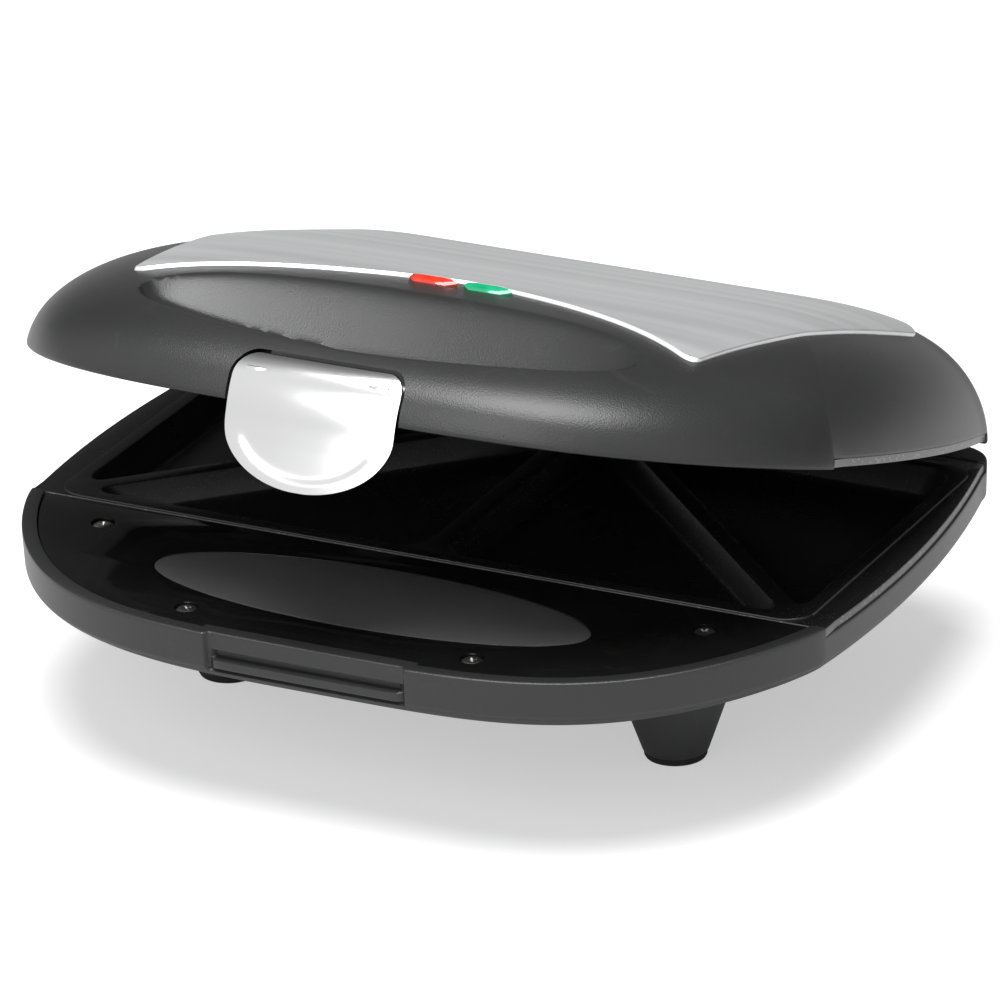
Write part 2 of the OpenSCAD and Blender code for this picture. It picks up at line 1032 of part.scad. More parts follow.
module lid_wires() {
    over = lid_bottom + heater_drop + reflector_thickness + 1.6;
    low = lid_bottom + block_depth + heater_radius;
    end_x = -heater_end - 8.4;
    color("firebrick")
        as_lid() {
            wire([[cable_x, rear_y - 9.8, hinge_z + cable_drop], [20, rear_y - 16, over + 2],
                [10, plate_mid_y + 10, over]], 1.1);
            wire([[10, plate_mid_y + 10, over], [-30, plate_mid_y + 20, over],
                [-reflector_half - 10, plate_mid_y + 26, over],
                [end_x - 3, plate_mid_y + heater_spread, low + 4],
                [end_x, plate_mid_y + heater_spread, low]], 1.1);
            wire([[10, plate_mid_y + 10, over], [-20, plate_mid_y - 10, over],
                [-reflector_half - 10, plate_mid_y - 26, over],
                [end_x - 3, plate_mid_y - heater_spread, low + 4],
                [end_x, plate_mid_y - heater_spread, low]], 1.1);
            wire([[10, plate_mid_y + 10, over], [12, plate_mid_y - 20, over],
                [12, lamp_y + 8, over]], 0.9);
        }
}

module lid_front_panel() {
    color("black")
        as_lid()
            over_parting()
                base_front_panel();
}

module lid_panel_inlay() {
    color("darkslategray")
        as_lid()
            over_parting()
                base_panel_inlay();
}

module lid_panel_screws() {
    color("silver")
        as_lid()
            over_parting()
                base_panel_screws();
}

module lid_hinge_bracket() {
    half = knuckle_length - knuckle_gap;
    difference() {
        union() {
            translate([0, hinge_y, hinge_z])
                along_x(knuckle_radius, -half, half);
            translate([-half, rear_y, hinge_z])
                cube([2 * half, leaf, 14]);
        }
        translate([0, hinge_y, hinge_z])
            along_x(pin_radius + pin_clearance, -half - 1, half + 1);
        for (x = [-4, 4])
            translate([x, 0, hinge_z + 11])
                along_y(screw_shank + fit, rear_y - 1, rear_y + 9);
    }
}

module lid_hinge_brackets() {
    color("slategray")
        as_lid()
            for (x = [-hinge_x, hinge_x])
                translate([x, 0, 0])
                    lid_hinge_bracket();
}

module lid_hinge_screws() {
    color("silver")
        as_lid()
            for (side = [-1, 1], x = [-4, 4])
                translate([side * hinge_x + x, 0, hinge_z + 11]) {
                    along_y(2.4, rear_y + leaf, rear_y + leaf + 1.6);
                    along_y(screw_shank, rear_y - 6, rear_y + leaf + 0.5);
                }
}

module lid_cable_barrel() {
    color("dimgray")
        as_lid()
            cable_barrel(knuckle_gap, barrel_length, 0, 14);
}

module lid_harness() {
    color("black")
        as_lid()
            harness(1, cable_drop);
}

module latch_bracket() {
    foot_z = lid_bottom + 0.6 + panel_thickness;
    color("slategray")
        as_lid()
            difference() {
                union() {
                    for (side = [-1, 1]) {
                        translate([side * (latch_lug_x + 1.3) - 1.3, pivot_y - 2.8, foot_z])
                            cube([2.6, 9.3, pivot_z - foot_z]);
                        translate([side * (latch_lug_x + 1.3), pivot_y, pivot_z])
                            along_x(2.8, -1.3, 1.3);
                    }
                    translate([-latch_lug_x, pivot_y + 4, foot_z])
                        cube([2 * latch_lug_x, 2.5, 3]);
                }
                translate([0, pivot_y, pivot_z])
                    along_x(latch_pin_radius, -beyond / 4, beyond / 4);
            }
}

module latch_pin() {
    color("silver")
        as_lid()
            translate([0, pivot_y, pivot_z])
                along_x(latch_pin_radius, -latch_lug_x - 2.6, latch_lug_x + 2.6);
}

// outer line of the latch as steps ahead of the front and heights
function latch_line() = [[4.6, latch_top], [2.2, 11.6], [0, 8.5], [-1.3, 4], [-1.9, -2],
    [-2.1, -9], [-1.8, -12], [-2.4, -14.5], [-3.1, -latch_drop + 2], [-3.3, -latch_drop]];

module latch() {
    line = latch_line();
    inner = [for (i = [len(line) - 1:-1:0]) [line[i][0] + latch_wall, line[i][1] - (i == 0 ? 1.4 : 0)]];
    turn = latch_angle;
    color("silver")
    as_lid()
    translate([0, pivot_y, pivot_z])
    rotate([-turn, 0, 0])
    translate([0, -pivot_y, -pivot_z])
    difference() {
        union() {
            intersection() {
                stand_up(front_y - 9, pivot_y + 5)
                    latch_face_shape(0);
                translate([-beyond / 2, front_y, lid_bottom])
                    rotate([90, 0, 90])
                        linear_extrude(beyond)
                            polygon(concat(line, inner));
            }
            translate([0, pivot_y, pivot_z])
                along_x(latch_barrel, -latch_lug_x + lug_gap, latch_lug_x - lug_gap);
            for (x = [-18, 0, 18])
                translate([x - 3, front_y + 1.6, pivot_z - 1.6])
                    cube([6, pivot_y - front_y - 2.4, 3.2]);
            // catch nose
            translate([-18, front_y - 0.2, lid_bottom - groove_drop - 0.7])
                cube([36, 1.4, 1.4]);
        }
        translate([0, pivot_y, pivot_z])
            along_x(latch_pin_radius + pin_clearance, -beyond / 4, beyond / 4);
    }
}

base_shell();
base_front_panel();
base_panel_inlay();
base_panel_screws();
lower_plate();
lower_heater();
lower_reflector();
lower_plate_screws();
feet();
foot_pads();
foot_screws();
cord_gland();
terminal_block();
thermal_fuse();
base_wires();
base_hinge_brackets();
base_hinge_screws();
hinge_pins();
base_cable_barrel();
base_harness();
lid_shell();
lid_trim_plate();
red_lamp_lens();
green_lamp_lens();
lamp_holder();
neon_lamps();
upper_plate();
upper_heater();
upper_reflector();
upper_plate_screws();
thermostat();
lid_wires();
lid_front_panel();
lid_panel_inlay();
lid_panel_screws();
lid_hinge_brackets();
lid_hinge_screws();
lid_cable_barrel();
lid_harness();
latch_bracket();
latch_pin();
latch();
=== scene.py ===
import math

import bmesh
import bpy
from mathutils import Matrix, Vector


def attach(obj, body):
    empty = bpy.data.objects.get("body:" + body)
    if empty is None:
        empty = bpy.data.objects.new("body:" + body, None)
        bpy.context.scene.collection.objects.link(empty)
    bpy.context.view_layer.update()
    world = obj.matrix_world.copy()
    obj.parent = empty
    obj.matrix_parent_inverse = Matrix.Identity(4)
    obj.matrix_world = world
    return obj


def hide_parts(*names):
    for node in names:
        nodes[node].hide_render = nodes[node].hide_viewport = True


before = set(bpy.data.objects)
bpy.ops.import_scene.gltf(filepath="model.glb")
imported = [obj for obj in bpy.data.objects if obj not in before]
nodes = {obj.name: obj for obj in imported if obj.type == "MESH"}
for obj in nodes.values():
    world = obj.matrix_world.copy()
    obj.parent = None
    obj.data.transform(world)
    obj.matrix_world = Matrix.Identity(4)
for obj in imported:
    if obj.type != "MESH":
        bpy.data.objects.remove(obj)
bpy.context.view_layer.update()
print("frame loaded with", len(nodes), "solids")

# every length below is in millimetres, and the lid is modelled shut
toaster = {
    "halfWidth": 120.5,
    "frontY": -105.15,
    "plateY": -35.95,
    "plateBack": 81.35,
    "rearY": 93.35,
    "sideTaper": 5.6,
    "sideBulge": 5.0,
    "bowFullness": 3.67,
    "bowFlatness": 0.83,
    "apexY": 44.55,
    "domeHeight": 33.5,
    "baseWall": 10.0,  # upright part of the base's outside
    "baseTop": 52.8,
    "lidBottom": 53.2,
    "wall": 2.5,
    "lip": 4.3,  # from the outside to the front panels
    "flange": 2.8,  # edge of the grill plates that shows at the sides
    "bellyZ": 14.5,
    "hingeY": 99.35,
    "hingeZ": 55.0,
    "lidAngle": 18.2,
}
frontY = toaster["frontY"]
plateY = toaster["plateY"]
rearY = toaster["rearY"]
plateBack = toaster["plateBack"]
apexY = toaster["apexY"]
baseTop = toaster["baseTop"]
lidBottom = toaster["lidBottom"]
bowDepth = plateY - frontY
deckY = plateBack + 3  # where the full height of the shells starts again
hingeLine = Vector((0, toaster["hingeY"], toaster["hingeZ"]))
shift = Matrix.Translation
overParting = shift((0, 0, baseTop + lidBottom)) @ Matrix.Diagonal((1, 1, -1, 1))
toMetres = Matrix.Scale(0.001, 4)


def rotated(degrees, axis):
    return Matrix.Rotation(math.radians(degrees), 4, axis)


lidTurn = shift(hingeLine) @ rotated(-toaster["lidAngle"], "X") @ shift(-hingeLine)


def addObject(name, data):
    thing = bpy.data.objects.new(name, data)
    bpy.context.scene.collection.objects.link(thing)
    return thing


# camera
cameraLook = {
    "turns": (27.061, 23.061, -1.5),  # azimuth, elevation and roll
    "lens": 316.32,
    "sensor": 36.0,
    "place": (1.01159, -1.96779, 0.99696),
}
camera = addObject("camera", bpy.data.cameras.new("camera"))
camera.data.sensor_width = cameraLook["sensor"]
camera.data.lens = cameraLook["lens"]
camera.data.clip_end = 20
azimuth, elevation, roll = (math.radians(a) for a in cameraLook["turns"])
back = Vector(
    (
        math.sin(azimuth) * math.cos(elevation),
        -math.cos(azimuth) * math.cos(elevation),
        math.sin(elevation),
    )
)
level = Vector((math.cos(azimuth), math.sin(azimuth), 0))
upright = back.cross(level)
cameraRight = level * math.cos(roll) + upright * math.sin(roll)
cameraUp = upright * math.cos(roll) - level * math.sin(roll)
cameraTurn = Matrix((cameraRight, cameraUp, back)).transposed().to_4x4()
camera.matrix_world = shift(cameraLook["place"]) @ cameraTurn
bpy.context.scene.camera = camera
print("camera placed")


# outlines of the shells, seen from above
def evenly(points, count):
    # the same line with evenly spaced points
    reach = [0.0]
    for a, b in zip(points, points[1:]):
        reach.append(reach[-1] + math.dist(a, b))
    line, step = [], 0
    for i in range(count + 1):
        goal = reach[-1] * i / count
        while reach[step + 1] < goal and step < len(points) - 2:
            step += 1
        share = (goal - reach[step]) / (reach[step + 1] - reach[step])
        line.append(
            tuple(a + (b - a) * share for a, b in zip(points[step], points[step + 1]))
        )
    return line


def addAt(line, axis, value, gap=0.0):
    # puts a point, or a pair a little apart, where the line crosses a value
    made = []
    for a, b in zip(line, line[1:]):
        made.append(a)
        if (a[axis] - value) * (b[axis] - value) < 0:
            for place in (value - gap / 2, value + gap / 2) if gap else (value,):
                share = (place - a[axis]) / (b[axis] - a[axis])
                made.append(tuple(p + (q - p) * share for p, q in zip(a, b)))
    return made + [line[-1]]


def sideX(y):
    t = (y - plateY) / (plateBack - plateY)
    return (
        toaster["halfWidth"]
        - toaster["sideTaper"] * t
        + toaster["sideBulge"] * 4 * t * (1 - t)
    )


def bowPoint(t):
    return (
        toaster["halfWidth"] * math.sin(t) ** (2 / toaster["bowFullness"]),
        plateY - bowDepth * math.cos(t) ** (2 * toaster["bowFlatness"]),
    )


def halfLine():
    # from the middle of the front round the right side to the middle of the rear
    bow = evenly([bowPoint(math.radians(90) * i / 900) for i in range(901)], 84)
    gap = plateBack - plateY
    side = [(sideX(plateY + gap * i / 18), plateY + gap * i / 18) for i in range(1, 19)]
    corner = rearY - plateBack
    edge = sideX(plateBack) - corner
    turns = [math.radians(90) * i / 8 for i in range(1, 9)]
    rounded = [
        (edge + corner * math.cos(t), plateBack + corner * math.sin(t))
        for t in turns
    ]
    rear = [(edge * (1 - i / 8), rearY) for i in range(1, 9)]
    line = bow + side + rounded + rear
    line = addAt(line, 1, plateY + 0.1, 0.1)
    line = addAt(line, 1, deckY, 0.1)
    for x in (28, 28.8, 29.4, 30, 30.6, 31.2):
        line = addAt(line, 0, x)
    return addAt(line, 0, 32, 0.1)


rightHalf = halfLine()
ring = rightHalf + [(-x, y) for x, y in reversed(rightHalf[1:-1])]


def outwards(points):
    # the way out at each point of a closed line
    ways = []
    for i, (x, y) in enumerate(points):
        a, b = points[i - 1], points[(i + 1) % len(points)]
        way = Vector((b[1] - a[1], a[0] - b[0], 0))
        ways.append(way.normalized())
    return ways


ringWays = outwards(ring)


def isLow(y):
    # true where the shells stand back for the flange of the plates
    return plateY + 0.1 < y < deckY


# how far each slice of the lid has drawn in, at a share of the dome's height
domeLook = {"side": (0.64, 6.6), "front": (0.36, 2.0), "rear": (0.35, 4.9)}
scoopLook = {
    "half": 73.0,
    "middleY": plateY - 30,
    "near": 29.0,  # from the middle line to the crest behind the latch
    "far": 27.0,
    "deep": 14.5,
    "crestWall": 0.3,  # shares of the way from the crest to the trim
    "farWall": 0.33,
    "farEase": 0.25,
    "endFade": 1.0,
}


def drawnIn(share, side):
    squareness, power = domeLook[side]
    return (1 - share ** (1 / squareness)) ** (1 / power)


def sideScale(share):
    return drawnIn(share, "side")


def alongScale(share, y):
    return drawnIn(share, "front" if y < apexY else "rear")


def scoopDrop(x, y, grow):
    # how deep the thumb scoop is over a point of the lid
    across = abs(x) / (scoopLook["half"] + grow)
    if across >= 1:
        return 0
    reach = math.sqrt(1 - across**2)
    near = scoopLook["middleY"] - scoopLook["near"] * reach - grow
    far = scoopLook["middleY"] + scoopLook["far"] * reach + grow
    way = (y - near) / (far - near)
    if not 0 < way < 1:
        return 0
    ease = scoopLook["farEase"]
    back = min((1 - way) / scoopLook["farWall"], 1)
    wallShape = (math.hypot(back, ease) - ease) / (math.hypot(1, ease) - ease)
    shape = smooth(way / scoopLook["crestWall"]) * wallShape
    return scoopLook["deep"] * shape * reach ** scoopLook["endFade"]


def lidPoint(i, height, inset=0.0, drop=0.0):
    x, y = ring[i]
    lift = toaster["flange"] * max(0, 1 - height / 12) if isLow(y) else 0
    share = min((height + lift) / toaster["domeHeight"], 1)
    place = Vector((x * sideScale(share), apexY + (y - apexY) * alongScale(share, y), 0))
    place -= ringWays[i] * inset
    place.z = lidBottom + height + lift - drop - scoopDrop(place.x, place.y, inset)
    return place


def basePoint(i, depth, inset=0.0, lift=0.0):
    x, y = ring[i]
    step = toaster["flange"] * max(0, 1 - depth / 12) if isLow(y) else 0
    deep = depth + step
    wallDepth = toaster["baseWall"]
    belly = max(0, (deep - wallDepth) / (baseTop - wallDepth - toaster["bellyZ"]))
    scale = 1 - 0.003 * min(deep / wallDepth, 1) - 0.5 * belly**1.43
    place = Vector((x * scale, apexY + (y - apexY) * (scale if y < apexY else 1), 0))
    place -= ringWays[i] * inset
    place.z = baseTop - deep + lift
    return place


def domeZ(x, y):
    # height of the shut lid's skin over a point
    low, high = 0.0, 1.0
    for _ in range(26):
        share = (low + high) / 2
        wide = abs(x) / max(sideScale(share), 1e-6)
        along = apexY + (y - apexY) / max(alongScale(share, y), 1e-6)
        if wide < halfWidthAt(along):
            low = share
        else:
            high = share
    return lidBottom + toaster["domeHeight"] * low


def halfWidthAt(y):
    if y < plateY:
        away = (plateY - y) / bowDepth
        if away >= 1:
            return -1
        angle = math.acos(away ** (0.5 / toaster["bowFlatness"]))
        return bowPoint(angle)[0]
    if y <= plateBack:
        return sideX(y)
    away = (y - plateBack) / (rearY - plateBack)
    if away >= 1:
        return -1
    corner = rearY - plateBack
    return sideX(plateBack) - corner * (1 - math.sqrt(1 - away**2))


def sineStep(i, count):
    # from -1 to 1 in steps that grow finer at both ends
    return math.sin(math.radians(90) * (2 * i / count - 1))


def smooth(share):
    share = max(0.0, min(1.0, share))
    return share * share * (3 - 2 * share)


# helpers for the meshes
def moved(bm, matrix):
    bmesh.ops.transform(bm, matrix=matrix, verts=bm.verts)
    return bm


def facedOut(bm):
    bmesh.ops.recalc_face_normals(bm, faces=bm.faces)
    return bm


def lineOf(bm, points, closed=True):
    order = bm.verts.layers.int.get("order") or bm.verts.layers.int.new("order")
    corners = [bm.verts.new(p) for p in points]
    for i, corner in enumerate(corners):
        corner[order] = i
    nexts = corners[1:] + corners[:1] if closed else corners[1:]
    return [bm.edges.new(pair) for pair in zip(corners, nexts)]


def cornersOf(made):
    # the new corners among what an extrusion makes
    return [v for v in made if isinstance(v, bmesh.types.BMVert)]


def loft(rows, closed=True, capped=True):
    # extrudes the first row's edges from row to row
    bm = bmesh.new()
    first = edges = lineOf(bm, rows[0], closed)
    order = bm.verts.layers.int["order"]
    for row in rows[1:]:
        made = bmesh.ops.extrude_edge_only(bm, edges=edges)["geom"]
        fresh = set(cornersOf(made))
        for v in fresh:
            v.co = row[v[order]]
        edges = [e for e in made if isinstance(e, bmesh.types.BMEdge) and set(e.verts) <= fresh]
    if capped:
        bmesh.ops.edgeloop_fill(bm, edges=first)
        bmesh.ops.edgeloop_fill(bm, edges=edges)
    return facedOut(bm)


def raised(bm, faces, way):
    # extrudes faces and gives back their moved corners
    corners = cornersOf(bmesh.ops.extrude_face_region(bm, geom=faces)["geom"])
    bmesh.ops.translate(bm, verts=corners, vec=way)
    return corners


def prism(points, low, high):
    bm = bmesh.new()
    face = bm.faces.new([bm.verts.new((x, y, low)) for x, y in points])
    raised(bm, [face], (0, 0, high - low))
    return facedOut(bm)


def boxOf(size, place=(0, 0, 0)):
    bm = bmesh.new()
    bmesh.ops.create_cube(bm, size=1)
    bmesh.ops.scale(bm, vec=size, verts=bm.verts)
    return moved(bm, shift(place))


def discOf(radius, low, high, x, y, segments=40):
    bm = bmesh.new()
    bmesh.ops.create_cone(
        bm, cap_ends=True, segments=segments, radius1=radius, radius2=radius, depth=high - low
    )
    return moved(bm, shift((x, y, (low + high) / 2)))


def bevel(bm, geom, width, segments, affect="EDGES"):
    bmesh.ops.bevel(
        bm,
        geom=geom,
        offset=width,
        offset_type="OFFSET",
        affect=affect,
        segments=segments,
        profile=0.5,
        material=-1,
        clamp_overlap=True,
    )


def roundEdges(bm, width, segments, chosen=lambda e: True):
    bevel(bm, [e for e in bm.edges if chosen(e)], width, segments)


def atHeight(z, sharper=20):
    # picks the sharp edges that lie at a height
    def chosen(e):
        flat = all(abs(v.co.z - z) < 1e-3 for v in e.verts)
        return flat and e.calc_face_angle(0) > math.radians(sharper)

    return chosen


def spun(profile, steps, centre=(0, 0, 0)):
    # a turned shape from a line of radius and height
    bm = bmesh.new()
    corners = [bm.verts.new((r, 0, z)) for r, z in profile]
    edges = [bm.edges.new(pair) for pair in zip(corners, corners[1:])]
    bmesh.ops.spin(
        bm,
        geom=corners + edges,
        cent=(0, 0, 0),
        axis=(0, 0, 1),
        angle=math.radians(360),
        steps=steps,
        use_merge=True,
        use_duplicate=False,
    )
    bmesh.ops.remove_doubles(bm, verts=bm.verts, dist=1e-4)
    return moved(facedOut(bm), shift(centre))


def joined(first, *others):
    for other in others:
        mesh = bpy.data.meshes.new("part")
        other.to_mesh(mesh)
        first.from_mesh(mesh)
        bpy.data.meshes.remove(mesh)
        other.free()
    return first


def looseObject(bm):
    mesh = bpy.data.meshes.new("loose")
    bm.to_mesh(mesh)
    bm.free()
    return addObject("loose", mesh)


def carve(bm, tool, operation="DIFFERENCE"):
    # cuts one mesh with another, or joins them
    body, other = looseObject(bm), looseObject(tool)
    change = body.modifiers.new("carve", "BOOLEAN")
    change.operation = operation
    change.object = other
    change.solver = "EXACT"
    shaped = body.evaluated_get(bpy.context.evaluated_depsgraph_get())
    made = bmesh.new()
    made.from_mesh(shaped.to_mesh())
    shaped.to_mesh_clear()
    for thing in (body, other):
        mesh = thing.data
        bpy.data.objects.remove(thing)
        bpy.data.meshes.remove(mesh)
    return made


def finishPiece(bm, name, body, replaced, looks, sharp):
    # puts a finished mesh in its place, in metres, and opens the lid's pieces
    bmesh.ops.remove_doubles(bm, verts=bm.verts, dist=2e-3)
    bmesh.ops.dissolve_degenerate(bm, edges=bm.edges, dist=1e-3)
    for layer in list(bm.verts.layers.int.values()):
        bm.verts.layers.int.remove(layer)
    facedOut(moved(bm, toMetres if body == "base" else toMetres @ lidTurn))
    mesh = bpy.data.meshes.new(name)
    bm.to_mesh(mesh)
    bm.free()
    for look in looks:
        mesh.materials.append(finishes[look])
    mesh.shade_smooth()
    mesh.set_sharp_from_angle(angle=math.radians(sharp))
    piece = addObject(name, mesh)
    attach(piece, body)
    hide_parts(*replaced)


# shader node groups
def groupOf(name, settings, outputs):
    # a group reads a place and its settings, and puts out plain values
    group = bpy.data.node_groups.new(name, "ShaderNodeTree")
    sockets = group.interface
    sockets.new_socket("Place", in_out="INPUT", socket_type="NodeSocketVector")
    for label, value in settings.items():
        kind = "NodeSocketVector" if isinstance(value, tuple) else "NodeSocketFloat"
        sockets.new_socket(label, in_out="INPUT", socket_type=kind).default_value = value
    for label in outputs:
        sockets.new_socket(label, in_out="OUTPUT", socket_type="NodeSocketFloat")
    start = group.nodes.new("NodeGroupInput")
    end = group.nodes.new("NodeGroupOutput")
    return group, start.outputs, end.inputs


def addNode(tree, kind, settings=None, **values):
    # i0, i1 and so on stand for inputs by number
    node = tree.nodes.new(kind)
    for key, value in (settings or {}).items():
        setattr(node, key, value)
    for key, value in values.items():
        socket = node.inputs[int(key[1:]) if key[1:].isdigit() else key]
        if isinstance(value, bpy.types.NodeSocket):
            tree.links.new(value, socket)
        else:
            socket.default_value = value
    return node


def mathOf(tree, operation, *values, kind="ShaderNodeMath"):
    inputs = {f"i{k}": value for k, value in enumerate(values)}
    return addNode(tree, kind, {"operation": operation}, **inputs).outputs[0]


def noiseOf(tree, place, scale, detail, **more):
    noise = addNode(
        tree, "ShaderNodeTexNoise", Vector=place, Scale=scale, Detail=detail, **more
    )
    return noise.outputs["Fac"]


def linkAll(tree, sockets, values):
    for label, value in values.items():
        tree.links.new(value, sockets[label])


def mouldedGrain():
    # fine grain of moulded plastic, slow mottling and faint rubbed places
    settings = {"Grain Scale": 2600.0, "Mottle Scale": 24.0}
    group, into, out = groupOf("mouldedGrain", settings, ("Height", "Mottle", "Rubbed"))
    place, grain = into["Place"], into["Grain Scale"]
    fine = noiseOf(group, place, grain, 3.0, Roughness=0.6)
    cells = addNode(group, "ShaderNodeTexVoronoi", {"feature": "SMOOTH_F1"}, Vector=place)
    group.links.new(grain, cells.inputs["Scale"])
    cells.inputs["Smoothness"].default_value = 0.6
    slow = noiseOf(group, place, into["Mottle Scale"], 4.0, Roughness=0.55)
    streak = noiseOf(group, place, 90.0, 6.0, Roughness=0.7, Distortion=1.2)
    values = {
        "Height": mathOf(group, "ADD", fine, cells.outputs["Distance"]),
        "Mottle": addNode(group, "ShaderNodeMapRange", i0=slow, i1=0.3, i2=0.7).outputs[0],
        "Rubbed": addNode(group, "ShaderNodeMapRange", i0=streak, i1=0.58, i2=0.72).outputs[0],
    }
    linkAll(group, out, values)
    return group


def brushedGrain():
    # long fine lines of brushed metal, in the direction that Stretch leaves long
    group, into, out = groupOf(
        "brushedGrain", {"Stretch": (12.0, 1400.0, 1400.0)}, ("Height", "Streak")
    )
    drawn = mathOf(group, "MULTIPLY", into["Place"], into["Stretch"], kind="ShaderNodeVectorMath")
    wide = addNode(group, "ShaderNodeVectorMath", {"operation": "SCALE"}, i0=drawn, Scale=0.12)
    values = {
        "Height": noiseOf(group, drawn, 1.0, 4.0, Roughness=0.65),
        "Streak": noiseOf(group, wide.outputs[0], 1.0, 2.0),
    }
    linkAll(group, out, values)
    return group


def speckledCoat():
    # sprayed coating: specks in a few sizes over a soft orange peel
    group, into, out = groupOf(
        "speckledCoat", {"Speck Scale": 900.0, "Amount": 0.28}, ("Height", "Specks", "Mottle")
    )
    place = into["Place"]
    cells = addNode(group, "ShaderNodeTexVoronoi", Vector=place, Scale=into["Speck Scale"])
    dots = mathOf(group, "LESS_THAN", cells.outputs["Distance"], into["Amount"])
    chance = addNode(group, "ShaderNodeSeparateColor", Color=cells.outputs["Color"])
    some = mathOf(group, "GREATER_THAN", chance.outputs[0], 0.6)
    values = {
        "Height": noiseOf(group, place, 520.0, 2.0),
        "Specks": mathOf(group, "MULTIPLY", dots, some),
        "Mottle": noiseOf(group, place, 26.0, 3.0),
    }
    linkAll(group, out, values)
    return group


grainGroup = mouldedGrain()
brushGroup = brushedGrain()
speckGroup = speckledCoat()


def blendColour(tree, share, first, second):
    mix = tree.nodes.new("ShaderNodeMix")
    mix.data_type = "RGBA"
    tree.links.new(share, mix.inputs[0])
    for socket, value in ((mix.inputs[6], first), (mix.inputs[7], second)):
        if isinstance(value, bpy.types.NodeSocket):
            tree.links.new(value, socket)
        else:
            socket.default_value = (*value, 1)
    return mix.outputs[2]


def spread(tree, share, low, high):
    return addNode(tree, "ShaderNodeMapRange", i0=share, i3=low, i4=high).outputs[0]


def finishOf(name, look, group, settings, toneBy="Mottle", roughBy="Mottle"):
    # colour and roughness follow patterns of the group, and its height makes the bump
    made = bpy.data.materials.new(name)
    made.use_nodes = True
    tree = made.node_tree
    shader = next(n for n in tree.nodes if n.type == "BSDF_PRINCIPLED")
    place = tree.nodes.new("ShaderNodeTexCoord").outputs["Object"]
    effect = addNode(tree, "ShaderNodeGroup", {"node_tree": group}, Place=place)
    for key, value in settings.items():
        effect.inputs[key].default_value = value
    pattern = effect.outputs
    tone = blendColour(tree, pattern[toneBy], look["dark"], look["light"])
    height = pattern["Height"]
    bump = addNode(tree, "ShaderNodeBump", Height=height, Distance=look["depth"], Strength=1.0)
    values = {
        "Base Color": tone,
        "Roughness": spread(tree, pattern[roughBy], *look["rough"]),
        "Normal": bump.outputs[0],
    }
    linkAll(tree, shader.inputs, values)
    return made, tree, shader.inputs, pattern, tone


def plasticFinish(name, look):
    settings = {"Grain Scale": look["grain"], "Mottle Scale": look["mottle"]}
    made, tree, inputs, pattern, tone = finishOf(name, look, grainGroup, settings)
    worn = blendColour(tree, pattern["Rubbed"], tone, look["rubbed"])
    tree.links.new(worn, inputs["Base Color"])
    inputs["IOR"].default_value = look.get("ior", 1.5)
    return made


def metalFinish(name, look):
    settings = {"Stretch": look["stretch"]}
    made, _, inputs, _, _ = finishOf(name, look, brushGroup, settings, "Streak", "Streak")
    inputs["Metallic"].default_value = look.get("metallic", 1.0)
    return made


def coatFinish(name, look):
    settings = {"Speck Scale": look["scale"], "Amount": look["amount"]}
    made, tree, inputs, pattern, tone = finishOf(name, look, speckGroup, settings)
    dotted = blendColour(tree, pattern["Specks"], tone, look["speck"])
    tree.links.new(dotted, inputs["Base Color"])
    inputs["Metallic"].default_value = look.get("metallic", 0.0)
    return made


def lampFinish(name, look):
    # clear coloured plastic with a faint glow of the lamp behind it
    settings = {"Grain Scale": 500.0, "Mottle Scale": 180.0}
    look = lampPlastic | look
    made, tree, inputs, _, tone = finishOf(name, look, grainGroup, settings, roughBy="Rubbed")
    tree.links.new(tone, inputs["Emission Color"])
    inputs["Emission Strength"].default_value = look["glow"]
    inputs["Transmission Weight"].default_value = look["clear"]
    inputs["IOR"].default_value = look["ior"]
    inputs["Coat Weight"].default_value = look["coat"]
    return made


def grey(level):
    return (level, level, level)


plasticLooks = {
    "shellPlastic": dict(
        dark=(0.019, 0.0193, 0.0196), light=(0.024, 0.0243, 0.0246),
        rubbed=(0.029, 0.0293, 0.0296), rough=(0.33, 0.38), grain=2400, mottle=16, depth=0.00004,
    ),
    "panelGloss": dict(
        dark=grey(0.006), light=grey(0.009), rubbed=(0.014, 0.013, 0.012),
        rough=(0.05, 0.10), grain=900, mottle=30, depth=0.000004, ior=1.36,
    ),
    "inlayMatte": dict(
        dark=(0.080, 0.080, 0.081), light=(0.100, 0.100, 0.101), rubbed=grey(0.11),
        rough=(0.42, 0.5), grain=2600, mottle=18, depth=0.00004,
    ),
    "footPlastic": dict(
        dark=(0.050, 0.051, 0.052), light=(0.066, 0.067, 0.068), rubbed=grey(0.08),
        rough=(0.5, 0.6), grain=2200, mottle=20, depth=0.00006,
    ),
    "softRubber": dict(
        dark=grey(0.012), light=grey(0.022), rubbed=(0.05, 0.05, 0.048),
        rough=(0.7, 0.85), grain=1500, mottle=40, depth=0.00008,
    ),
    "whiteCeramic": dict(
        dark=(0.62, 0.6, 0.54), light=(0.74, 0.72, 0.66), rubbed=(0.5, 0.47, 0.4),
        rough=(0.35, 0.55), grain=1200, mottle=60, depth=0.00003,
    ),
    "wireCover": dict(
        dark=(0.36, 0.03, 0.02), light=(0.5, 0.05, 0.03), rubbed=(0.3, 0.05, 0.04),
        rough=(0.4, 0.6), grain=1800, mottle=50, depth=0.00003,
    ),
    "fuseBody": dict(
        dark=(0.5, 0.42, 0.2), light=(0.62, 0.54, 0.3), rubbed=(0.4, 0.34, 0.2),
        rough=(0.3, 0.5), grain=1600, mottle=60, depth=0.00002,
    ),
}
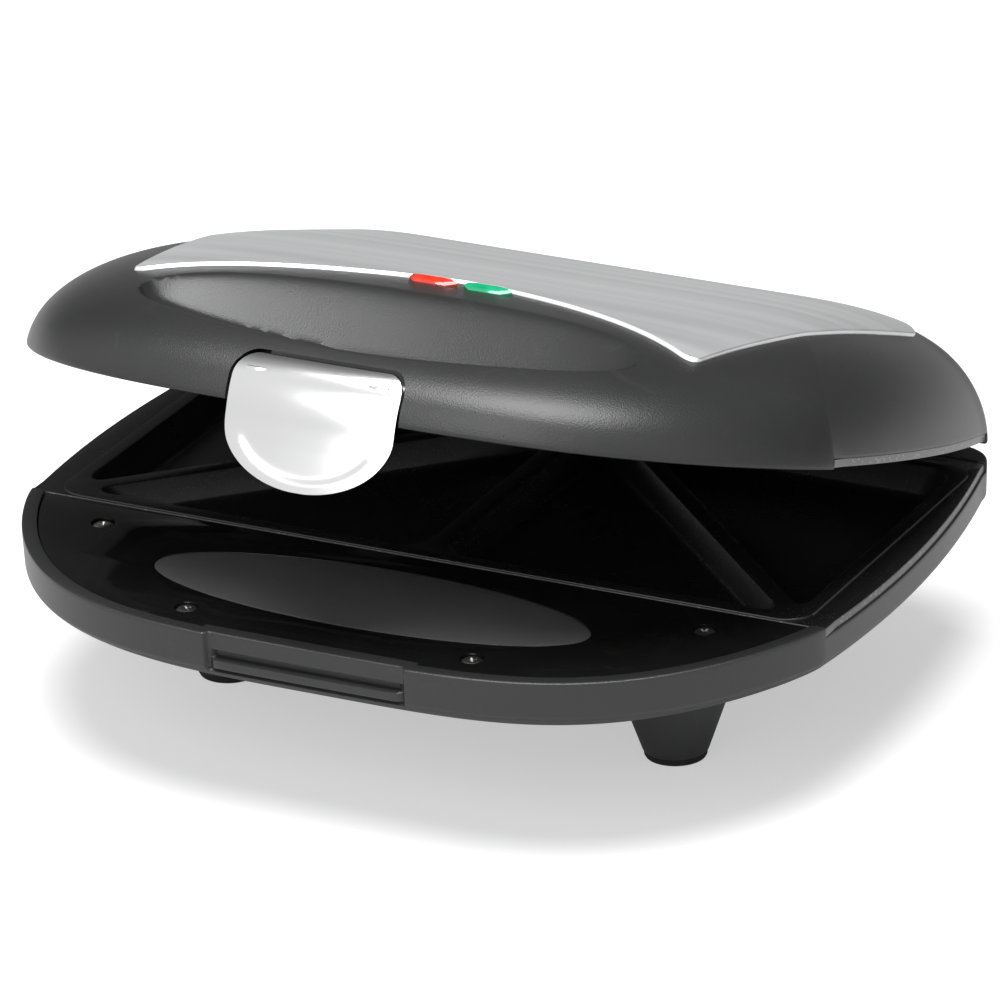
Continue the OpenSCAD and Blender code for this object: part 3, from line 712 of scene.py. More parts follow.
metalLooks = {
    "satinTrim": dict(
        dark=(0.60, 0.605, 0.61), light=(0.72, 0.725, 0.73), rough=(0.54, 0.62),
        stretch=(8.0, 900.0, 900.0), depth=0.00001,
    ),
    # near-white and only partly metallic: a painted highlight on the polished chamfer of the trim
    "trimEdgePaintedHighlight": dict(
        dark=grey(0.86), light=(0.93, 0.93, 0.92), rough=(0.24, 0.32),
        stretch=(40.0, 400.0, 400.0), depth=0.000003, metallic=0.35,
    ),
    "satinChrome": dict(
        dark=(0.66, 0.66, 0.67), light=grey(0.76), rough=(0.13, 0.20),
        stretch=(10.0, 700.0, 700.0), depth=0.000004,
    ),
    "screwSteel": dict(
        dark=(0.42, 0.41, 0.40), light=(0.62, 0.61, 0.6), rough=(0.2, 0.36),
        stretch=(500.0, 500.0, 60.0), depth=0.00001,
    ),
    "hingeSteel": dict(
        dark=(0.25, 0.25, 0.26), light=(0.4, 0.4, 0.41), rough=(0.28, 0.45),
        stretch=(30.0, 800.0, 800.0), depth=0.00001,
    ),
    "sheetSteel": dict(
        dark=grey(0.52), light=(0.68, 0.68, 0.67), rough=(0.2, 0.42),
        stretch=(14.0, 500.0, 500.0), depth=0.00001,
    ),
    "heaterTube": dict(
        dark=(0.14, 0.13, 0.12), light=(0.24, 0.21, 0.18), rough=(0.35, 0.6),
        stretch=(60.0, 300.0, 300.0), depth=0.00002,
    ),
}
coatLooks = {
    "plateCoating": dict(
        dark=grey(0.008), light=grey(0.014), speck=grey(0.05), rough=(0.22, 0.34),
        scale=1100.0, amount=0.22, depth=0.00004,
    ),
    "plateRim": dict(
        dark=grey(0.10), light=grey(0.2), speck=(0.30, 0.30, 0.295), rough=(0.3, 0.5),
        scale=900.0, amount=0.30, depth=0.00005, metallic=0.6,
    ),
}
lampPlastic = dict(
    glow=0.12, clear=0.25, rough=(0.04, 0.14), depth=0.000004, ior=1.49, coat=0.7
)
lampLooks = {
    "redJewel": {"dark": (0.55, 0.012, 0.006), "light": (0.85, 0.05, 0.02)},
    "greenJewel": {"dark": (0.0, 0.30, 0.12), "light": (0.01, 0.52, 0.24)},
    "neonGlass": {"dark": (0.7, 0.3, 0.1), "light": (0.9, 0.55, 0.3), "glow": 0.05, "clear": 0.6},
}
finishes = {}
for build, looks in (
    (plasticFinish, plasticLooks),
    (metalFinish, metalLooks),
    (coatFinish, coatLooks),
    (lampFinish, lampLooks),
):
    for name, look in looks.items():
        finishes[name] = build(name, look)
print("finishes ready")


# shells
baseLook = {
    "bellyRows": 22,
    "catchHalf": 30.0,
    "catchDepth": 1.6,
    "grooveTop": 5.1,
    "grooveLow": 7.3,
    "grooveDepth": 1.5,
    "barLow": 10.4,
    "barProud": 1.0,
    "recessLow": 11.2,
    "wallRows": [1.6, 2.6, 3.6, 4.4, 5.0, 5.2, 5.4, 5.6, 6.2, 6.8, 7.2, 7.4]
    + [7.6, 7.8, 8.4, 9.2, 9.9, 10.2, 10.5, 10.8, 11.1, 11.4, 11.7],
    "straight": 12.2,  # where the rows of the belly start
    "ledges": (4.0, 9.6),  # depths of the ledges under the panel
    "insideFrom": 11.5,
    "insideRows": 7,
}
lidLook = {"rows": 144, "start": 12.2, "end": 89.2, "ledges": (3.0, 5.6)}
rimLook = {
    "round": [(0, 0.9), (0.08, 0.45), (0.3, 0.14), (0.8, 0)],  # steps and insets outside
    "inside": [(0, 4.05), (0.08, 4.2), (0.3, 4.3)],
    "ledgeInset": 4.3,
    "sideLedge": 4.1,
    "deepLedge": 4.5,
    "catchHalf": 32,
    "catchBack": 5.9,
}


def catchStep(x, depth):
    # how far the front wall steps back where the latch catches
    half = baseLook["catchHalf"]
    along = 1 - smooth((abs(x) - half + 1.2) / 1.4)
    reach = along * (1 - smooth((depth - baseLook["recessLow"] + 0.5) / 0.9))
    back = baseLook["catchDepth"] * reach
    inside = 1 - smooth((abs(x) - half + 2.6) / 1.2)
    groove = smooth((depth - baseLook["grooveTop"]) / 0.4)
    groove *= 1 - smooth((depth - baseLook["grooveLow"]) / 0.4)
    bar = smooth((depth - baseLook["grooveLow"]) / 0.5)
    bar *= 1 - smooth((depth - baseLook["barLow"] + 0.3) / 0.5)
    return back + inside * (groove * baseLook["grooveDepth"] - bar * baseLook["barProud"])


def baseRow(depth, inset):
    row = []
    for i, (x, y) in enumerate(ring):
        place = basePoint(i, depth, inset)
        if y < plateY and abs(x) < baseLook["catchHalf"] + 4:
            place.y += catchStep(x, depth)
        row.append(place)
    return row


def ledgePoint(i, inset):
    # the inner edge of the rim, for the front panel, the sides and the rear deck
    x, y = ring[i]
    atFront = y < plateY + 0.1
    place = Vector((x, y, 0)) - ringWays[i] * (inset if atFront else toaster["wall"])
    if atFront:
        if abs(x) < rimLook["catchHalf"]:
            place.y = max(place.y, frontY + rimLook["catchBack"])
        place.y = min(place.y, plateY - 0.1)
    elif not isLow(y):
        place.y = min(place.y, deckY - 0.2)
    return place


def ledgeRows(edge, way, ledges):
    # rows from the parting edge into a shell, past its ledges
    rows = []
    for deep, inset in rimLook["inside"] + [(d, rimLook["ledgeInset"]) for d in ledges]:
        row = []
        for i, (x, y) in enumerate(ring):
            place = ledgePoint(i, inset)
            full = y < plateY + 0.1 or deep < rimLook["deepLedge"]
            step = deep if full else rimLook["sideLedge"]
            place.z = edge + way * (step + (toaster["flange"] if isLow(y) else 0))
            row.append(place)
        rows.append(row)
    return rows


def baseShell():
    depths = rimLook["round"] + [(depth, 0) for depth in baseLook["wallRows"]]
    foot = baseTop - toaster["bellyZ"]
    start, count = baseLook["straight"], baseLook["bellyRows"]
    depths += [(start + (foot - start) * i / count, 0) for i in range(count + 1)]
    outer = [baseRow(depth, inset) for depth, inset in reversed(depths)]
    inside = ledgeRows(baseTop, -1, baseLook["ledges"])
    start, count, wall = baseLook["insideFrom"], baseLook["insideRows"], toaster["wall"]
    for k in range(count + 1):
        depth = start + (foot - start) * k / count
        inside.append([basePoint(i, depth, wall, wall) for i in range(len(ring))])
    return loft(outer + inside)


def lidHeights():
    heights = rimLook["round"] + [(1.6, 0), (2.6, 0), (4, 0), (5.5, 0)]
    for i in range(lidLook["rows"] + 1):
        angle = lidLook["start"] + (lidLook["end"] - lidLook["start"]) * i / lidLook["rows"]
        heights.append((toaster["domeHeight"] * math.sin(math.radians(angle)), 0))
    return heights


def lidShell():
    heights = lidHeights()
    wall = toaster["wall"]
    outer = [[lidPoint(i, height, inset) for i in range(len(ring))] for height, inset in heights]
    inside = ledgeRows(lidBottom, 1, lidLook["ledges"])
    for height, _ in heights[7:-8:2]:
        inside.append([lidPoint(i, height, wall, wall) for i in range(len(ring))])
    return carve(loft(outer[::-1] + inside), latchTool(latchLook["room"]))


# the latch, as a face seen from the front
latchLook = {
    "half": 24.8,
    "top": 13.2,
    "low": -21.0,
    "corner": 6.0,
    "thick": 2.4,
    "backRoom": 0.2,
    "crown": 1.8,
    "lip": 0.6,
    "columns": 40,
    "room": 0.85,
    "waist": -4.0,  # height under which the sides turn in
    "profile": [(13.2, 4.6), (11.6, 2.2), (8.5, 0.0), (4.0, -1.3), (0.0, -1.7)]
    + [(-4.0, -1.75), (-9.0, -2.0), (-14.0, -2.3), (-21.0, -2.6)],
    "pivot": (0, plateY - 62.6, lidBottom + 8.2),
    "barrel": {"radius": 2.6, "length": 42.8},
    "arm": {"size": (6, 4.5, 3.2), "x": (-18, 0, 18), "y": frontY + 3.4},
    "nose": {"size": (36, 1.4, 1.4), "place": (0, frontY + 0.5, lidBottom - 6.6)},
}


def latchBelow(height):
    # 0 at the waist and 1 at the foot of the latch
    waist = latchLook["waist"]
    return (min(height, waist) - waist) / (latchLook["low"] - waist)


def latchHalfAt(height):
    corner, half = latchLook["corner"], latchLook["half"]
    shoulder = latchLook["top"] - corner
    if height > shoulder:
        return half - corner + math.sqrt(max(corner**2 - (height - shoulder) ** 2, 0))
    return half * math.sqrt(max(1 - latchBelow(height) ** 2, 0))


def cornerHeights(step):
    # heights down the round upper corners
    top, corner = latchLook["top"], latchLook["corner"]
    return [top - corner * (1 - math.cos(math.radians(a))) for a in range(0, 90, step)]


def latchTool(room):
    # the hole for the latch, open at its lower side
    corner = latchLook["corner"]
    shoulder = latchLook["top"] - corner
    right = []
    for h in cornerHeights(9) + [shoulder]:
        right.append((latchHalfAt(h) + room, h + room * (h - shoulder) / corner))
    right.append((latchLook["half"] + room, -12))
    bm = prism(right + [(-x, h) for x, h in reversed(right)], 0, 40)
    stand = shift((0, frontY + 25, lidBottom)) @ rotated(90, "X")
    return moved(bm, stand)


def along(profile, height):
    # a smooth line through a list of heights and steps
    for (h0, s0), (h1, s1) in zip(profile, profile[1:]):
        if height >= h1:
            return s0 + (s1 - s0) * (h0 - height) / (h0 - h1)
    return profile[-1][1]


def latchCrown(x):
    return latchLook["crown"] * abs(x / latchLook["half"]) ** 2.4


def latchY(x, height):
    base = sum(along(latchLook["profile"], height + d) for d in (-1.6, -0.8, 0, 0.8, 1.6)) / 5
    outward = math.hypot(x / latchLook["half"], latchBelow(height))
    lip = latchLook["lip"] * smooth((outward - 0.74) / 0.14) * smooth((-height - 5) / 6)
    return frontY + base + latchCrown(x) - lip


def latchFace():
    low, waist = latchLook["low"], latchLook["waist"]
    shoulder = latchLook["top"] - latchLook["corner"]
    heights = cornerHeights(10)
    heights += [shoulder + (waist - shoulder) * i / 10 for i in range(11)]
    heights += [waist + (low - waist) * math.sin(math.radians(a)) for a in range(5, 88, 4)]
    rows = []
    for height in heights:
        row = []
        for i in range(latchLook["columns"] + 1):
            x = latchHalfAt(height) * sineStep(i, latchLook["columns"])
            row.append(Vector((x, latchY(x, height), lidBottom + height)))
        rows.append(row)
    bm = loft(rows, closed=False, capped=False)
    for v in raised(bm, list(bm.faces), (0, latchLook["thick"] - latchLook["backRoom"], 0)):
        v.co.y -= latchCrown(v.co.x)  # a back flat across clears the base when shut
    facedOut(bm)
    roundEdges(bm, 0.55, 3, lambda e: e.calc_face_angle(0) > math.radians(55))
    return bm


def latchPiece():
    face = latchFace()
    barrel, arm, nose = latchLook["barrel"], latchLook["arm"], latchLook["nose"]
    rod = discOf(barrel["radius"], -barrel["length"] / 2, barrel["length"] / 2, 0, 0, 32)
    sideways = shift(latchLook["pivot"]) @ rotated(90, "Y")
    moved(rod, sideways)
    arms = [boxOf(arm["size"], (x, arm["y"], latchLook["pivot"][2])) for x in arm["x"]]
    arms.append(boxOf(nose["size"], nose["place"]))
    for part in arms:
        roundEdges(part, 0.3, 2)
    return joined(face, rod, *arms)


shellLook = ["shellPlastic"]
finishPiece(baseShell(), "baseShell", "base", ["base_shell"], shellLook, sharp=40)
finishPiece(lidShell(), "lidShell", "lid", ["lid_shell"], shellLook, sharp=28)
latch = latchPiece()
finishPiece(latch, "latchHandle", "latch", ["latch"], ["satinChrome"], sharp=38)
print("shells and latch made")


# silver plate on the lid
trimLook = {
    "half": 85.0,
    "front": plateY + 17,
    "sweep": 36.0,
    "curve": 1.5,
    "back": plateBack,
    "flare": 10.0,
    "round": 14.0,
    "frontRound": 6.0,
    "thick": 1.0,
    "chamfer": 0.9,
    "edge": 0.2,  # share of the thickness that stays upright
    "rows": 60,
    "columns": 90,
}


def trimFrontY(x):
    half, nose = trimLook["half"], trimLook["frontRound"]
    y = trimLook["front"] - trimLook["sweep"] * abs(x / half) ** trimLook["curve"]
    past = max(0, abs(x) - half + nose) / nose
    return y + nose * (1 - math.sqrt(max(1 - past**2, 0)))


def trimBackY(x):
    half = trimLook["half"] + trimLook["flare"]
    past = max(0, abs(x) - half + trimLook["round"]) / trimLook["round"]
    return trimLook["back"] - trimLook["round"] * (1 - math.sqrt(max(1 - past**2, 0)))


def domeWay(x, y):
    # the way out of the dome
    step = 0.5
    leanX = (domeZ(x + step, y) - domeZ(x - step, y)) / (2 * step)
    leanY = (domeZ(x, y + step) - domeZ(x, y - step)) / (2 * step)
    return Vector((-leanX, -leanY, 1)).normalized()


def lidTrim():
    # rows close to the front and rear rims leave room for a chamfer; its near-white finish is a
    # painted highlight over the polished edge
    across, flare, chamfer = trimLook["half"], trimLook["flare"], trimLook["chamfer"]
    ways = [(j / trimLook["rows"], 0) for j in range(trimLook["rows"] + 1)]
    ways = ways[:1] + [(0, chamfer)] + ways[1:-1] + [(1, -chamfer)] + ways[-1:]
    rows, rims = [], []
    for v, shift in ways:
        half = across + flare * math.sin(math.radians(90) * v)
        row = []
        for i in range(trimLook["columns"] + 1):
            u = sineStep(i, trimLook["columns"])
            front, rear = trimFrontY(u * across), trimBackY(u * (across + flare))
            x, y = u * half, front + (rear - front) * v + shift
            row.append(Vector((x, y, domeZ(x, y) + 0.02)))
            rims.append(min(y - front, rear - y, half * (1 - abs(u))))
        rows.append(row)
    bm = loft(rows, closed=False, capped=False)
    rim = bm.verts.layers.float.new("rim")
    for v, gap in zip(bm.verts, rims):
        v[rim] = gap
    for v in raised(bm, list(bm.faces), (0, 0, 0)):
        rise = min(trimLook["edge"] + v[rim] / chamfer, 1)
        v.co += domeWay(v.co.x, v.co.y) * trimLook["thick"] * rise
    facedOut(bm)
    # the chamfer faces take the near-white edge finish, a painted highlight along the trim's rim
    for f in bm.faces:
        if min(v[rim] for v in f.verts) < 0.4 * chamfer:
            f.material_index = 1
    return bm


trimFinishes = ["satinTrim", "trimEdgePaintedHighlight"]
finishPiece(lidTrim(), "lidTrim", "lid", ["lid_trim_plate"], trimFinishes, sharp=32)
print("trim made")


# lamps
lampLook = {
    "x": 8.3,
    "y": plateY + 13.2,
    "z": lidBottom + 30.5,
    "tilt": 17.0,
    "length": 14.6,
    "deep": 2.6,
    "facets": ((-5, 0, 1), (0.95, 0, 1), (1.6, 0.7, 1), (2.0, 1.3, 0.35)),
}


def lens(side):
    # a long jewel with sloping facets and a blunt ridge
    rows = []
    for height, inset, flat in lampLook["facets"]:
        half = lampLook["length"] / 2 - inset
        deep = (lampLook["deep"] - inset) * flat
        end = half - lampLook["deep"]
        points = [(-half, 0), (-end, -deep), (end, -deep)]
        points += [(-x, -y) for x, y in points]
        rows.append([Vector((x, y, height)) for x, y in points])
    bm = loft(rows)
    roundEdges(bm, 0.09, 2)
    place = shift((side * lampLook["x"], lampLook["y"], lampLook["z"]))
    return moved(bm, place @ rotated(lampLook["tilt"], "X"))


for side, tone in ((-1, "red"), (1, "green")):
    node = tone + "_lamp_lens"
    made, look = lens(side), tone + "Jewel"
    finishPiece(made, tone + "Lens", "lid", [node], [look], sharp=12)
print("lamps made")


# front panels with their oval inlays and screws
panelLook = {
    "thick": 2.8,
    "down": 0.6,
    "round": 0.35,
    "gap": 0.2,
    "catchBack": 6.1,
    "inlayY": plateY - 29.4,
    "inlayHalf": 65.0,
    "inlayDeep": 19.0,
    "inlayGap": 0.15,
    "inlayFloor": 0.9,
    "inlayDown": 0.12,
    "inlayRound": 0.3,
    "wellDeep": 1.6,
}
screwLook = {
    "places": [(91, plateY - 12.7), (42.7, plateY - 54)],
    "turns": (18, 50, 75, 33),
    "radius": 3.15,
    "seat": baseTop - 2.3,
    "head": [(0, 1.4), (1.7, 1.36), (2.5, 1.18), (2.95, 0.8), (3.12, 0.35), (3.15, 0)],
    "shank": [(1.4, 0), (1.4, -8), (0, -8)],
    "cross": (3.7, 0.72, 1.6),
    "crossUp": 1.3,
    "crossTaper": (0.35, 0.6),
}
panelTop = baseTop - panelLook["down"]


def ovalTool(room, low, high):
    size = (panelLook["inlayHalf"] + room, panelLook["inlayDeep"] + room, 1)
    bm = discOf(1, low, high, 0, 0, 128)
    bmesh.ops.scale(bm, vec=size, verts=bm.verts)
    return moved(bm, shift((0, panelLook["inlayY"], 0)))


def screwPlaces():
    return [(side * x, y) for side in (-1, 1) for x, y in screwLook["places"]]


def ovalEdge(e):
    # true for the upper edge of the oval opening
    x, y, _ = e.verts[0].co
    gap = panelLook["inlayGap"]
    over = (y - panelLook["inlayY"]) / (panelLook["inlayDeep"] + gap)
    inOval = math.hypot(x / (panelLook["inlayHalf"] + gap), over) < 1.01
    return inOval and atHeight(panelTop, 40)(e)


def frontPanel():
    right = []
    rear = plateY - panelLook["gap"]
    for i, (x, y) in enumerate(rightHalf):
        place = Vector((x, y, 0)) - ringWays[i] * (toaster["lip"] + panelLook["gap"])
        if y > plateY or place.x < 0 or place.y > rear:
            continue
        if x < rimLook["catchHalf"]:
            place.y = max(place.y, frontY + panelLook["catchBack"])
        right.append((place.x, place.y))
    right.append((right[-1][0] + 0.02, rear))
    points = right + [(-x, y) for x, y in reversed(right) if x > 0.01]
    bm = prism(points, panelTop - panelLook["thick"], panelTop)
    roundEdges(bm, panelLook["round"], 3, atHeight(panelTop))
    floor = panelTop - panelLook["inlayFloor"]
    bm = carve(bm, ovalTool(panelLook["inlayGap"], floor, panelTop + 3))
    roundEdges(bm, 0.28, 2, ovalEdge)
    well = panelTop - panelLook["wellDeep"]
    for x, y in screwPlaces():
        bm = carve(bm, discOf(screwLook["radius"] + 0.2, well, panelTop + 3, x, y))
    return bm


def panelInlay():
    top = panelTop - panelLook["inlayDown"]
    bm = ovalTool(0, panelTop - panelLook["inlayFloor"], top)
    roundEdges(bm, panelLook["inlayRound"], 3, atHeight(top))
    return bm


def panelScrews():
    # pan heads with a cross recess, in the wells of the panel
    heads = []
    for turned, (x, y) in zip(screwLook["turns"], screwPlaces()):
        head = spun(screwLook["head"] + screwLook["shank"], 36)
        for angle in (0, 90):
            slot = boxOf(screwLook["cross"])
            for v in slot.verts:
                if v.co.z < 0:
                    v.co.x *= screwLook["crossTaper"][0]
                    v.co.y *= screwLook["crossTaper"][1]
            place = shift((0, 0, screwLook["crossUp"])) @ rotated(angle, "Z")
            moved(slot, place)
            head = carve(head, slot)
        place = shift((x, y, screwLook["seat"])) @ rotated(turned, "Z")
        moved(head, place)
        heads.append(head)
    return joined(*heads)


def flipped(bm):
    # the lid's twin of a piece of the base
    moved(bm, overParting)
    bmesh.ops.reverse_faces(bm, faces=bm.faces)
    return bm


for build, name, slot, node, look in (
    (frontPanel, "Panel", "panel_gloss", "front_panel", "panelGloss"),
    (panelInlay, "Inlay", "inlay_matte", "panel_inlay", "inlayMatte"),
    (panelScrews, "PanelScrews", "screw_steel", "panel_screws", "screwSteel"),
):
    finishPiece(build(), "base" + name, "base", ["base_" + node], [look], sharp=35)
    finishPiece(flipped(build()), "lid" + name, "lid", ["lid_" + node], [look], sharp=35)
print("front panels made")


# grill plates
plateLook = {
    "inset": 0.8,
    "flange": 2.8,
    "bead": 0.6,
    "pocketSide": 112.3,
    "pocketFront": plateY + 2,
    "pocketBack": plateY + 114,
    "ridge": 3.0,
    "pocketDeep": 8.5,
    "floor": 2.5,
    "footShare": 1 - 10 / 68,  # size of a pocket's foot to its mouth
    "footRound": 3.0,
    "cornerRound": 8.0,
    "wall": 1.5,  # from the pockets to the outside of the block
    "taper": 7,
    "postX": 94,
    "postY": (plateY + 16, plateY + 100),
    "postRadius": 5,
    "postDown": 6,
}


def roundedFace(corners, radius, z):
    bm = bmesh.new()
    bm.faces.new([bm.verts.new((x, y, z)) for x, y in corners])
    bevel(bm, list(bm.verts), radius, 7, "VERTICES")
    return bm


def pocketTool(corners):
    # a drafted pocket with round corners and a round foot
    middleX, middleY = (sum(values) / 3 for values in zip(*corners))
    half = plateLook["ridge"] / 2
    drawn = []
    for i, corner in enumerate(corners):
        here, before, after = (Vector((*corners[k % 3], 0)) for k in (i, i - 1, i + 1))
        one, two = (before - here).normalized(), (after - here).normalized()
        middle = (one + two).normalized()
        angle = one.angle(two) / 2
        place = here + middle * half / math.sin(angle)
        drawn.append((place.x, place.y))
    above, deep = 3, plateLook["pocketDeep"]
    bm = roundedFace(drawn, plateLook["cornerRound"], above)
    for v in raised(bm, bm.faces[:], (0, 0, -above - deep)):
        v.co.x = middleX + (v.co.x - middleX) * plateLook["footShare"]
        v.co.y = middleY + (v.co.y - middleY) * plateLook["footShare"]
    facedOut(bm)
    roundEdges(bm, plateLook["footRound"], 5, atHeight(-deep))
    return bm


def flangeLine():
    right = []
    front, rear = plateY + 0.2, deckY - 0.3
    for i, (x, y) in enumerate(rightHalf):
        if front < y <= rear:
            place = Vector((x, y, 0)) - ringWays[i] * plateLook["inset"]
            right.append((place.x, place.y))
    right = [(right[0][0] - 0.02, front)] + right + [(right[-1][0] - 0.1, rear)]
    return right + [(-x, y) for x, y in reversed(right)]


def grillPlate():
    # cooking face at height 0, seen from above
    down, wall = plateLook["flange"], plateLook["wall"]
    under = plateLook["pocketDeep"] + plateLook["floor"]
    flange = prism(flangeLine(), -down, -plateLook["bead"])
    roundEdges(flange, 0.25, 2, atHeight(-plateLook["bead"]))
    front, rear = plateLook["pocketFront"], plateLook["pocketBack"]
    side = plateLook["pocketSide"] + wall
    near, far = front - wall, rear + wall
    box = [(-side, near), (side, near), (side, far), (-side, far)]
    block = roundedFace(box, plateLook["cornerRound"], 0)
    low = raised(block, block.faces[:], (0, 0, -down))
    foot = [f for f in block.faces if all(v in low for v in f.verts)]
    middle, taper = (near + far) / 2, plateLook["taper"]
    for v in raised(block, foot, (0, 0, down - under)):
        v.co.x *= 1 - taper / side
        v.co.y = middle + (v.co.y - middle) * (1 - 2 * taper / (far - near))
    inner = []
    for f in block.faces:
        if abs(f.calc_center_median().z + down) < 1e-3 and abs(f.normal.z) > 0.9:
            inner.append(f)
    bmesh.ops.delete(block, geom=inner, context="FACES_ONLY")
    facedOut(block)
    plate = carve(block, flange, "UNION")
    for x in (-plateLook["pocketSide"], plateLook["pocketSide"]):
        plate = carve(plate, pocketTool([(x, front), (0, front), (0, rear)]))
        plate = carve(plate, pocketTool([(x, front), (0, rear), (x, rear)]))
    roundEdges(plate, 0.5, 3, atHeight(0, 30))
    for x in (-plateLook["postX"], plateLook["postX"]):
        for y in plateLook["postY"]:
            low, high = -under - plateLook["postDown"], 1.5 - under
            plate = joined(plate, discOf(plateLook["postRadius"], low, high, x, y, 32))
    for f in plate.faces:
        x, y, z = f.calc_center_median()
        outside = max(abs(x) - side + 0.3, near - 0.1 - y, y - far - 0.1) > 0
        f.material_index = 1 if outside and z > -down - 0.1 else 0
    return plate


plateFinishes = ["plateCoating", "plateRim"]
lower = grillPlate()
moved(lower, shift((0, 0, baseTop)))
upper = flipped(lower.copy())
finishPiece(lower, "lowerPlate", "base", ["lower_plate"], plateFinishes, sharp=35)
finishPiece(upper, "upperPlate", "lid", ["upper_plate"], plateFinishes, sharp=35)
print("grill plates made")


# feet
footLook = {
    "x": 68.5,
    "front": plateY + 15,
    "rear": plateY + 98,
    "bore": 4.0,
    "radius": 9.0,
    "pad": 2.0,
    "boreTop": 9.0,
    "spread": 11.0,  # how much wider the cone is at its top
    "top": 34.0,
}


def belly():
    # the outside of the base as a closed solid
    wallDepth = toaster["baseWall"]
    under = baseTop - toaster["bellyZ"] - wallDepth
    depths = [0, 5, wallDepth] + [wallDepth + under * i / 24 for i in range(1, 25)]
    return loft([[basePoint(i, depth, 0.05) for i in range(len(ring))] for depth in depths])


def atFeet(profile, steps, cut=lambda foot: foot):
    feet = []
    for x in (-footLook["x"], footLook["x"]):
        for y in (footLook["front"], footLook["rear"]):
            feet.append(cut(spun(profile, steps, (x, y, 0))))
    return joined(*feet)


bore, footRadius, pad = footLook["bore"], footLook["radius"], footLook["pad"]
footLine = [
    (bore, footLook["boreTop"]),
    (bore, pad),
    (footRadius - 0.5, pad),
    (footRadius - 0.1, pad + 0.2),
    (footRadius + 0.15, pad + 0.6),
    (footRadius + footLook["spread"], footLook["top"]),
    (0, footLook["top"]),
    (0, footLook["boreTop"]),
    (bore, footLook["boreTop"]),
]
padLine = [
    (bore, 0),
    (footRadius - 1.4, 0),
    (footRadius - 0.7, 0.25),
    (footRadius - 0.35, 0.9),
    (footRadius - 0.3, pad),
    (bore, pad),
    (bore, 0),
]
feet = atFeet(footLine, 72, lambda foot: carve(foot, belly()))
finishPiece(feet, "feetCones", "base", ["feet"], ["footPlastic"], sharp=35)
pads = atFeet(padLine, 56)
finishPiece(pads, "footPads", "base", ["foot_pads"], ["softRubber"], sharp=40)
print("feet made")


# solids whose shape is right take a detailed finish
nodeFinishes = {
    "hingeSteel": ["base_hinge_brackets", "lid_hinge_brackets", "latch_bracket"],
    "screwSteel": [
        "base_hinge_screws",
        "lid_hinge_screws",
        "lower_plate_screws",
        "upper_plate_screws",
        "foot_screws",
        "hinge_pins",
        "latch_pin",
    ],
    "sheetSteel": ["lower_reflector", "upper_reflector"],
    "heaterTube": ["lower_heater", "upper_heater"],
    "softRubber": ["cord_gland", "base_harness", "lid_harness"],
    "shellPlastic": ["base_cable_barrel", "lid_cable_barrel"],
    "whiteCeramic": ["terminal_block", "thermostat", "lamp_holder"],
    "wireCover": ["base_wires", "lid_wires"],
    "fuseBody": ["thermal_fuse"],
    "neonGlass": ["neon_lamps"],
}
for look, names in nodeFinishes.items():
    for name in names:
        slots = nodes[name].data.materials
        if not slots:
            slots.append(finishes[look])
        for i in range(len(slots)):
            slots[i] = finishes[look]
print("solids finished")


# floor, backdrop and studio light
studio = {
    "aim": (0, 0, 0.06),
    "floorSize": 30.0,
    "white": 0.66,
    "lift": 0.5,
    "mirrored": 0.2,  # share of the lift that glossy things show
    "skyLevel": 0.22,
    "rearLevel": 0.08,  # how bright glossy things show the far end of the room
    "key": {"place": (0.02, -0.16, 1.50), "size": 1.2, "power": 33.0},
    "front": {"place": (-0.15, -1.50, 1.00), "size": 1.2, "power": 9.0},
}


def areaLight(name, look):
    lamp = bpy.data.lights.new(name, "AREA")
    lamp.shape = "DISK"
    lamp.size = look["size"]
    lamp.energy = look["power"]
    place = Vector(look["place"])
    aim = Vector(studio["aim"]) - place
    turn = aim.to_track_quat("-Z", "Y").to_matrix().to_4x4()
    addObject(name, lamp).matrix_world = shift(place) @ turn


def backgroundSeen(tree, mirrored):
    # 1 where the background is looked at, and less where something glossy shows it
    path = tree.nodes.new("ShaderNodeLightPath").outputs
    glossy = mathOf(tree, "MULTIPLY", path["Is Glossy Ray"], mirrored)
    seen = mathOf(tree, "MAXIMUM", path["Is Camera Ray"], glossy)
    return mathOf(tree, "MAXIMUM", seen, path["Is Transmission Ray"])


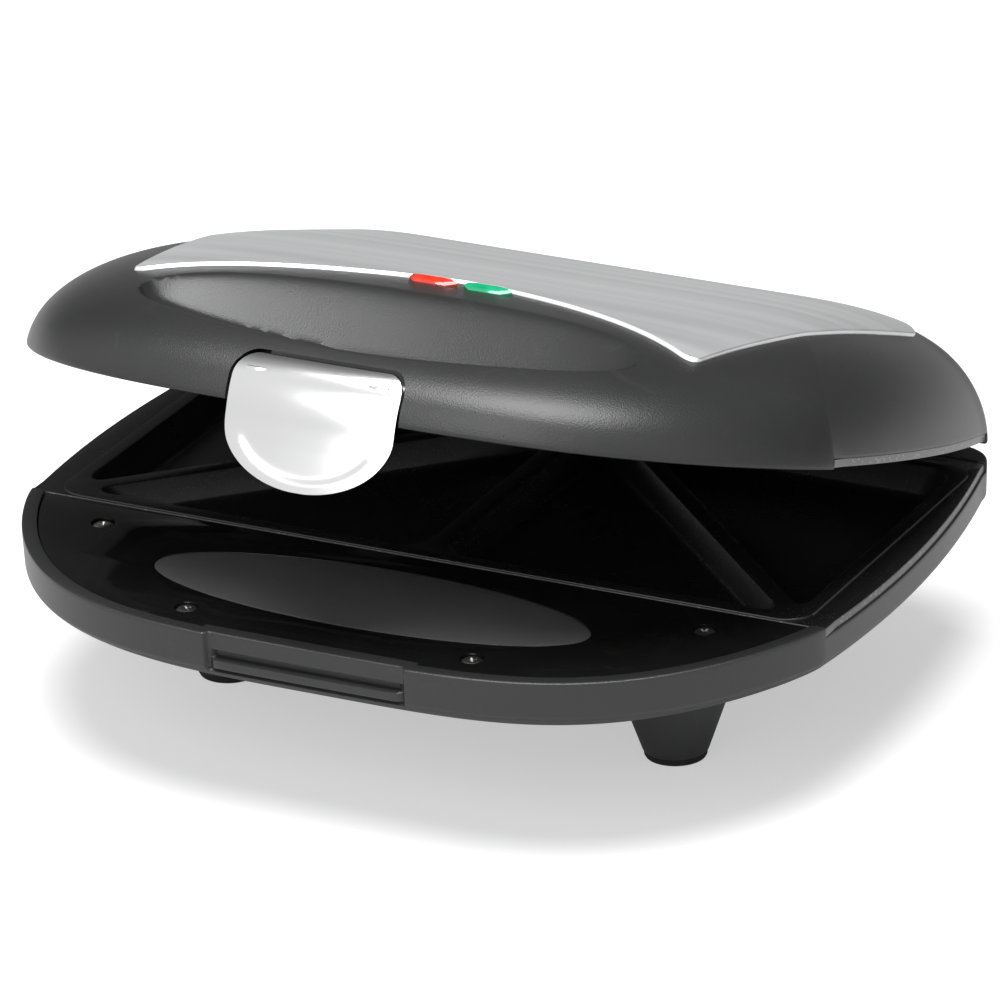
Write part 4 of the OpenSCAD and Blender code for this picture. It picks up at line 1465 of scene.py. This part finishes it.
def floorFinish():
    made = bpy.data.materials.new("palePaper")
    made.use_nodes = True
    tree = made.node_tree
    shader = next(n for n in tree.nodes if n.type == "BSDF_PRINCIPLED")
    end = next(n for n in tree.nodes if n.type == "OUTPUT_MATERIAL")
    place = tree.nodes.new("ShaderNodeTexCoord").outputs["Object"]
    fibre = noiseOf(tree, place, 160.0, 3.0)
    tone = spread(tree, fibre, studio["white"] - 0.01, studio["white"] + 0.01)
    pale = addNode(tree, "ShaderNodeCombineColor", i0=tone, i1=tone, i2=tone)
    tree.links.new(pale.outputs[0], shader.inputs["Base Color"])
    shader.inputs["Roughness"].default_value = 0.8
    shader.inputs["Specular IOR Level"].default_value = 0.0
    seen = backgroundSeen(tree, studio["mirrored"])
    lift = mathOf(tree, "MULTIPLY", seen, studio["lift"])
    glow = addNode(tree, "ShaderNodeEmission", Strength=lift)
    both = addNode(tree, "ShaderNodeAddShader", i0=shader.outputs[0], i1=glow.outputs[0])
    tree.links.new(both.outputs[0], end.inputs["Surface"])
    return made


def floor():
    bm = bmesh.new()
    bmesh.ops.create_grid(bm, x_segments=1, y_segments=1, size=studio["floorSize"] / 2)
    mesh = bpy.data.meshes.new("floor")
    bm.to_mesh(mesh)
    bm.free()
    mesh.materials.append(floorFinish())
    addObject("floor", mesh)


def sky():
    world = bpy.data.worlds.new("studio")
    bpy.context.scene.world = world
    world.use_nodes = True
    tree = world.node_tree
    light = next(n for n in tree.nodes if n.type == "BACKGROUND")
    way = tree.nodes.new("ShaderNodeTexCoord").outputs["Generated"]
    depth = addNode(tree, "ShaderNodeSeparateXYZ", Vector=way).outputs["Y"]
    rear = studio["rearLevel"]
    mirrored = addNode(tree, "ShaderNodeMapRange", i0=depth, i1=-0.3, i2=0.5, i3=1.0, i4=rear)
    seen = backgroundSeen(tree, mirrored.outputs[0])
    soft = tree.nodes.new("ShaderNodeLightPath").outputs["Is Diffuse Ray"]
    level = mathOf(tree, "MULTIPLY_ADD", soft, studio["skyLevel"], seen)
    tree.links.new(level, light.inputs["Strength"])
    light.inputs["Color"].default_value = (1, 1, 1, 1)


areaLight("keyLight", studio["key"])
areaLight("frontLight", studio["front"])
floor()
sky()
bpy.context.scene.view_settings.view_transform = "Standard"
print("studio lit")
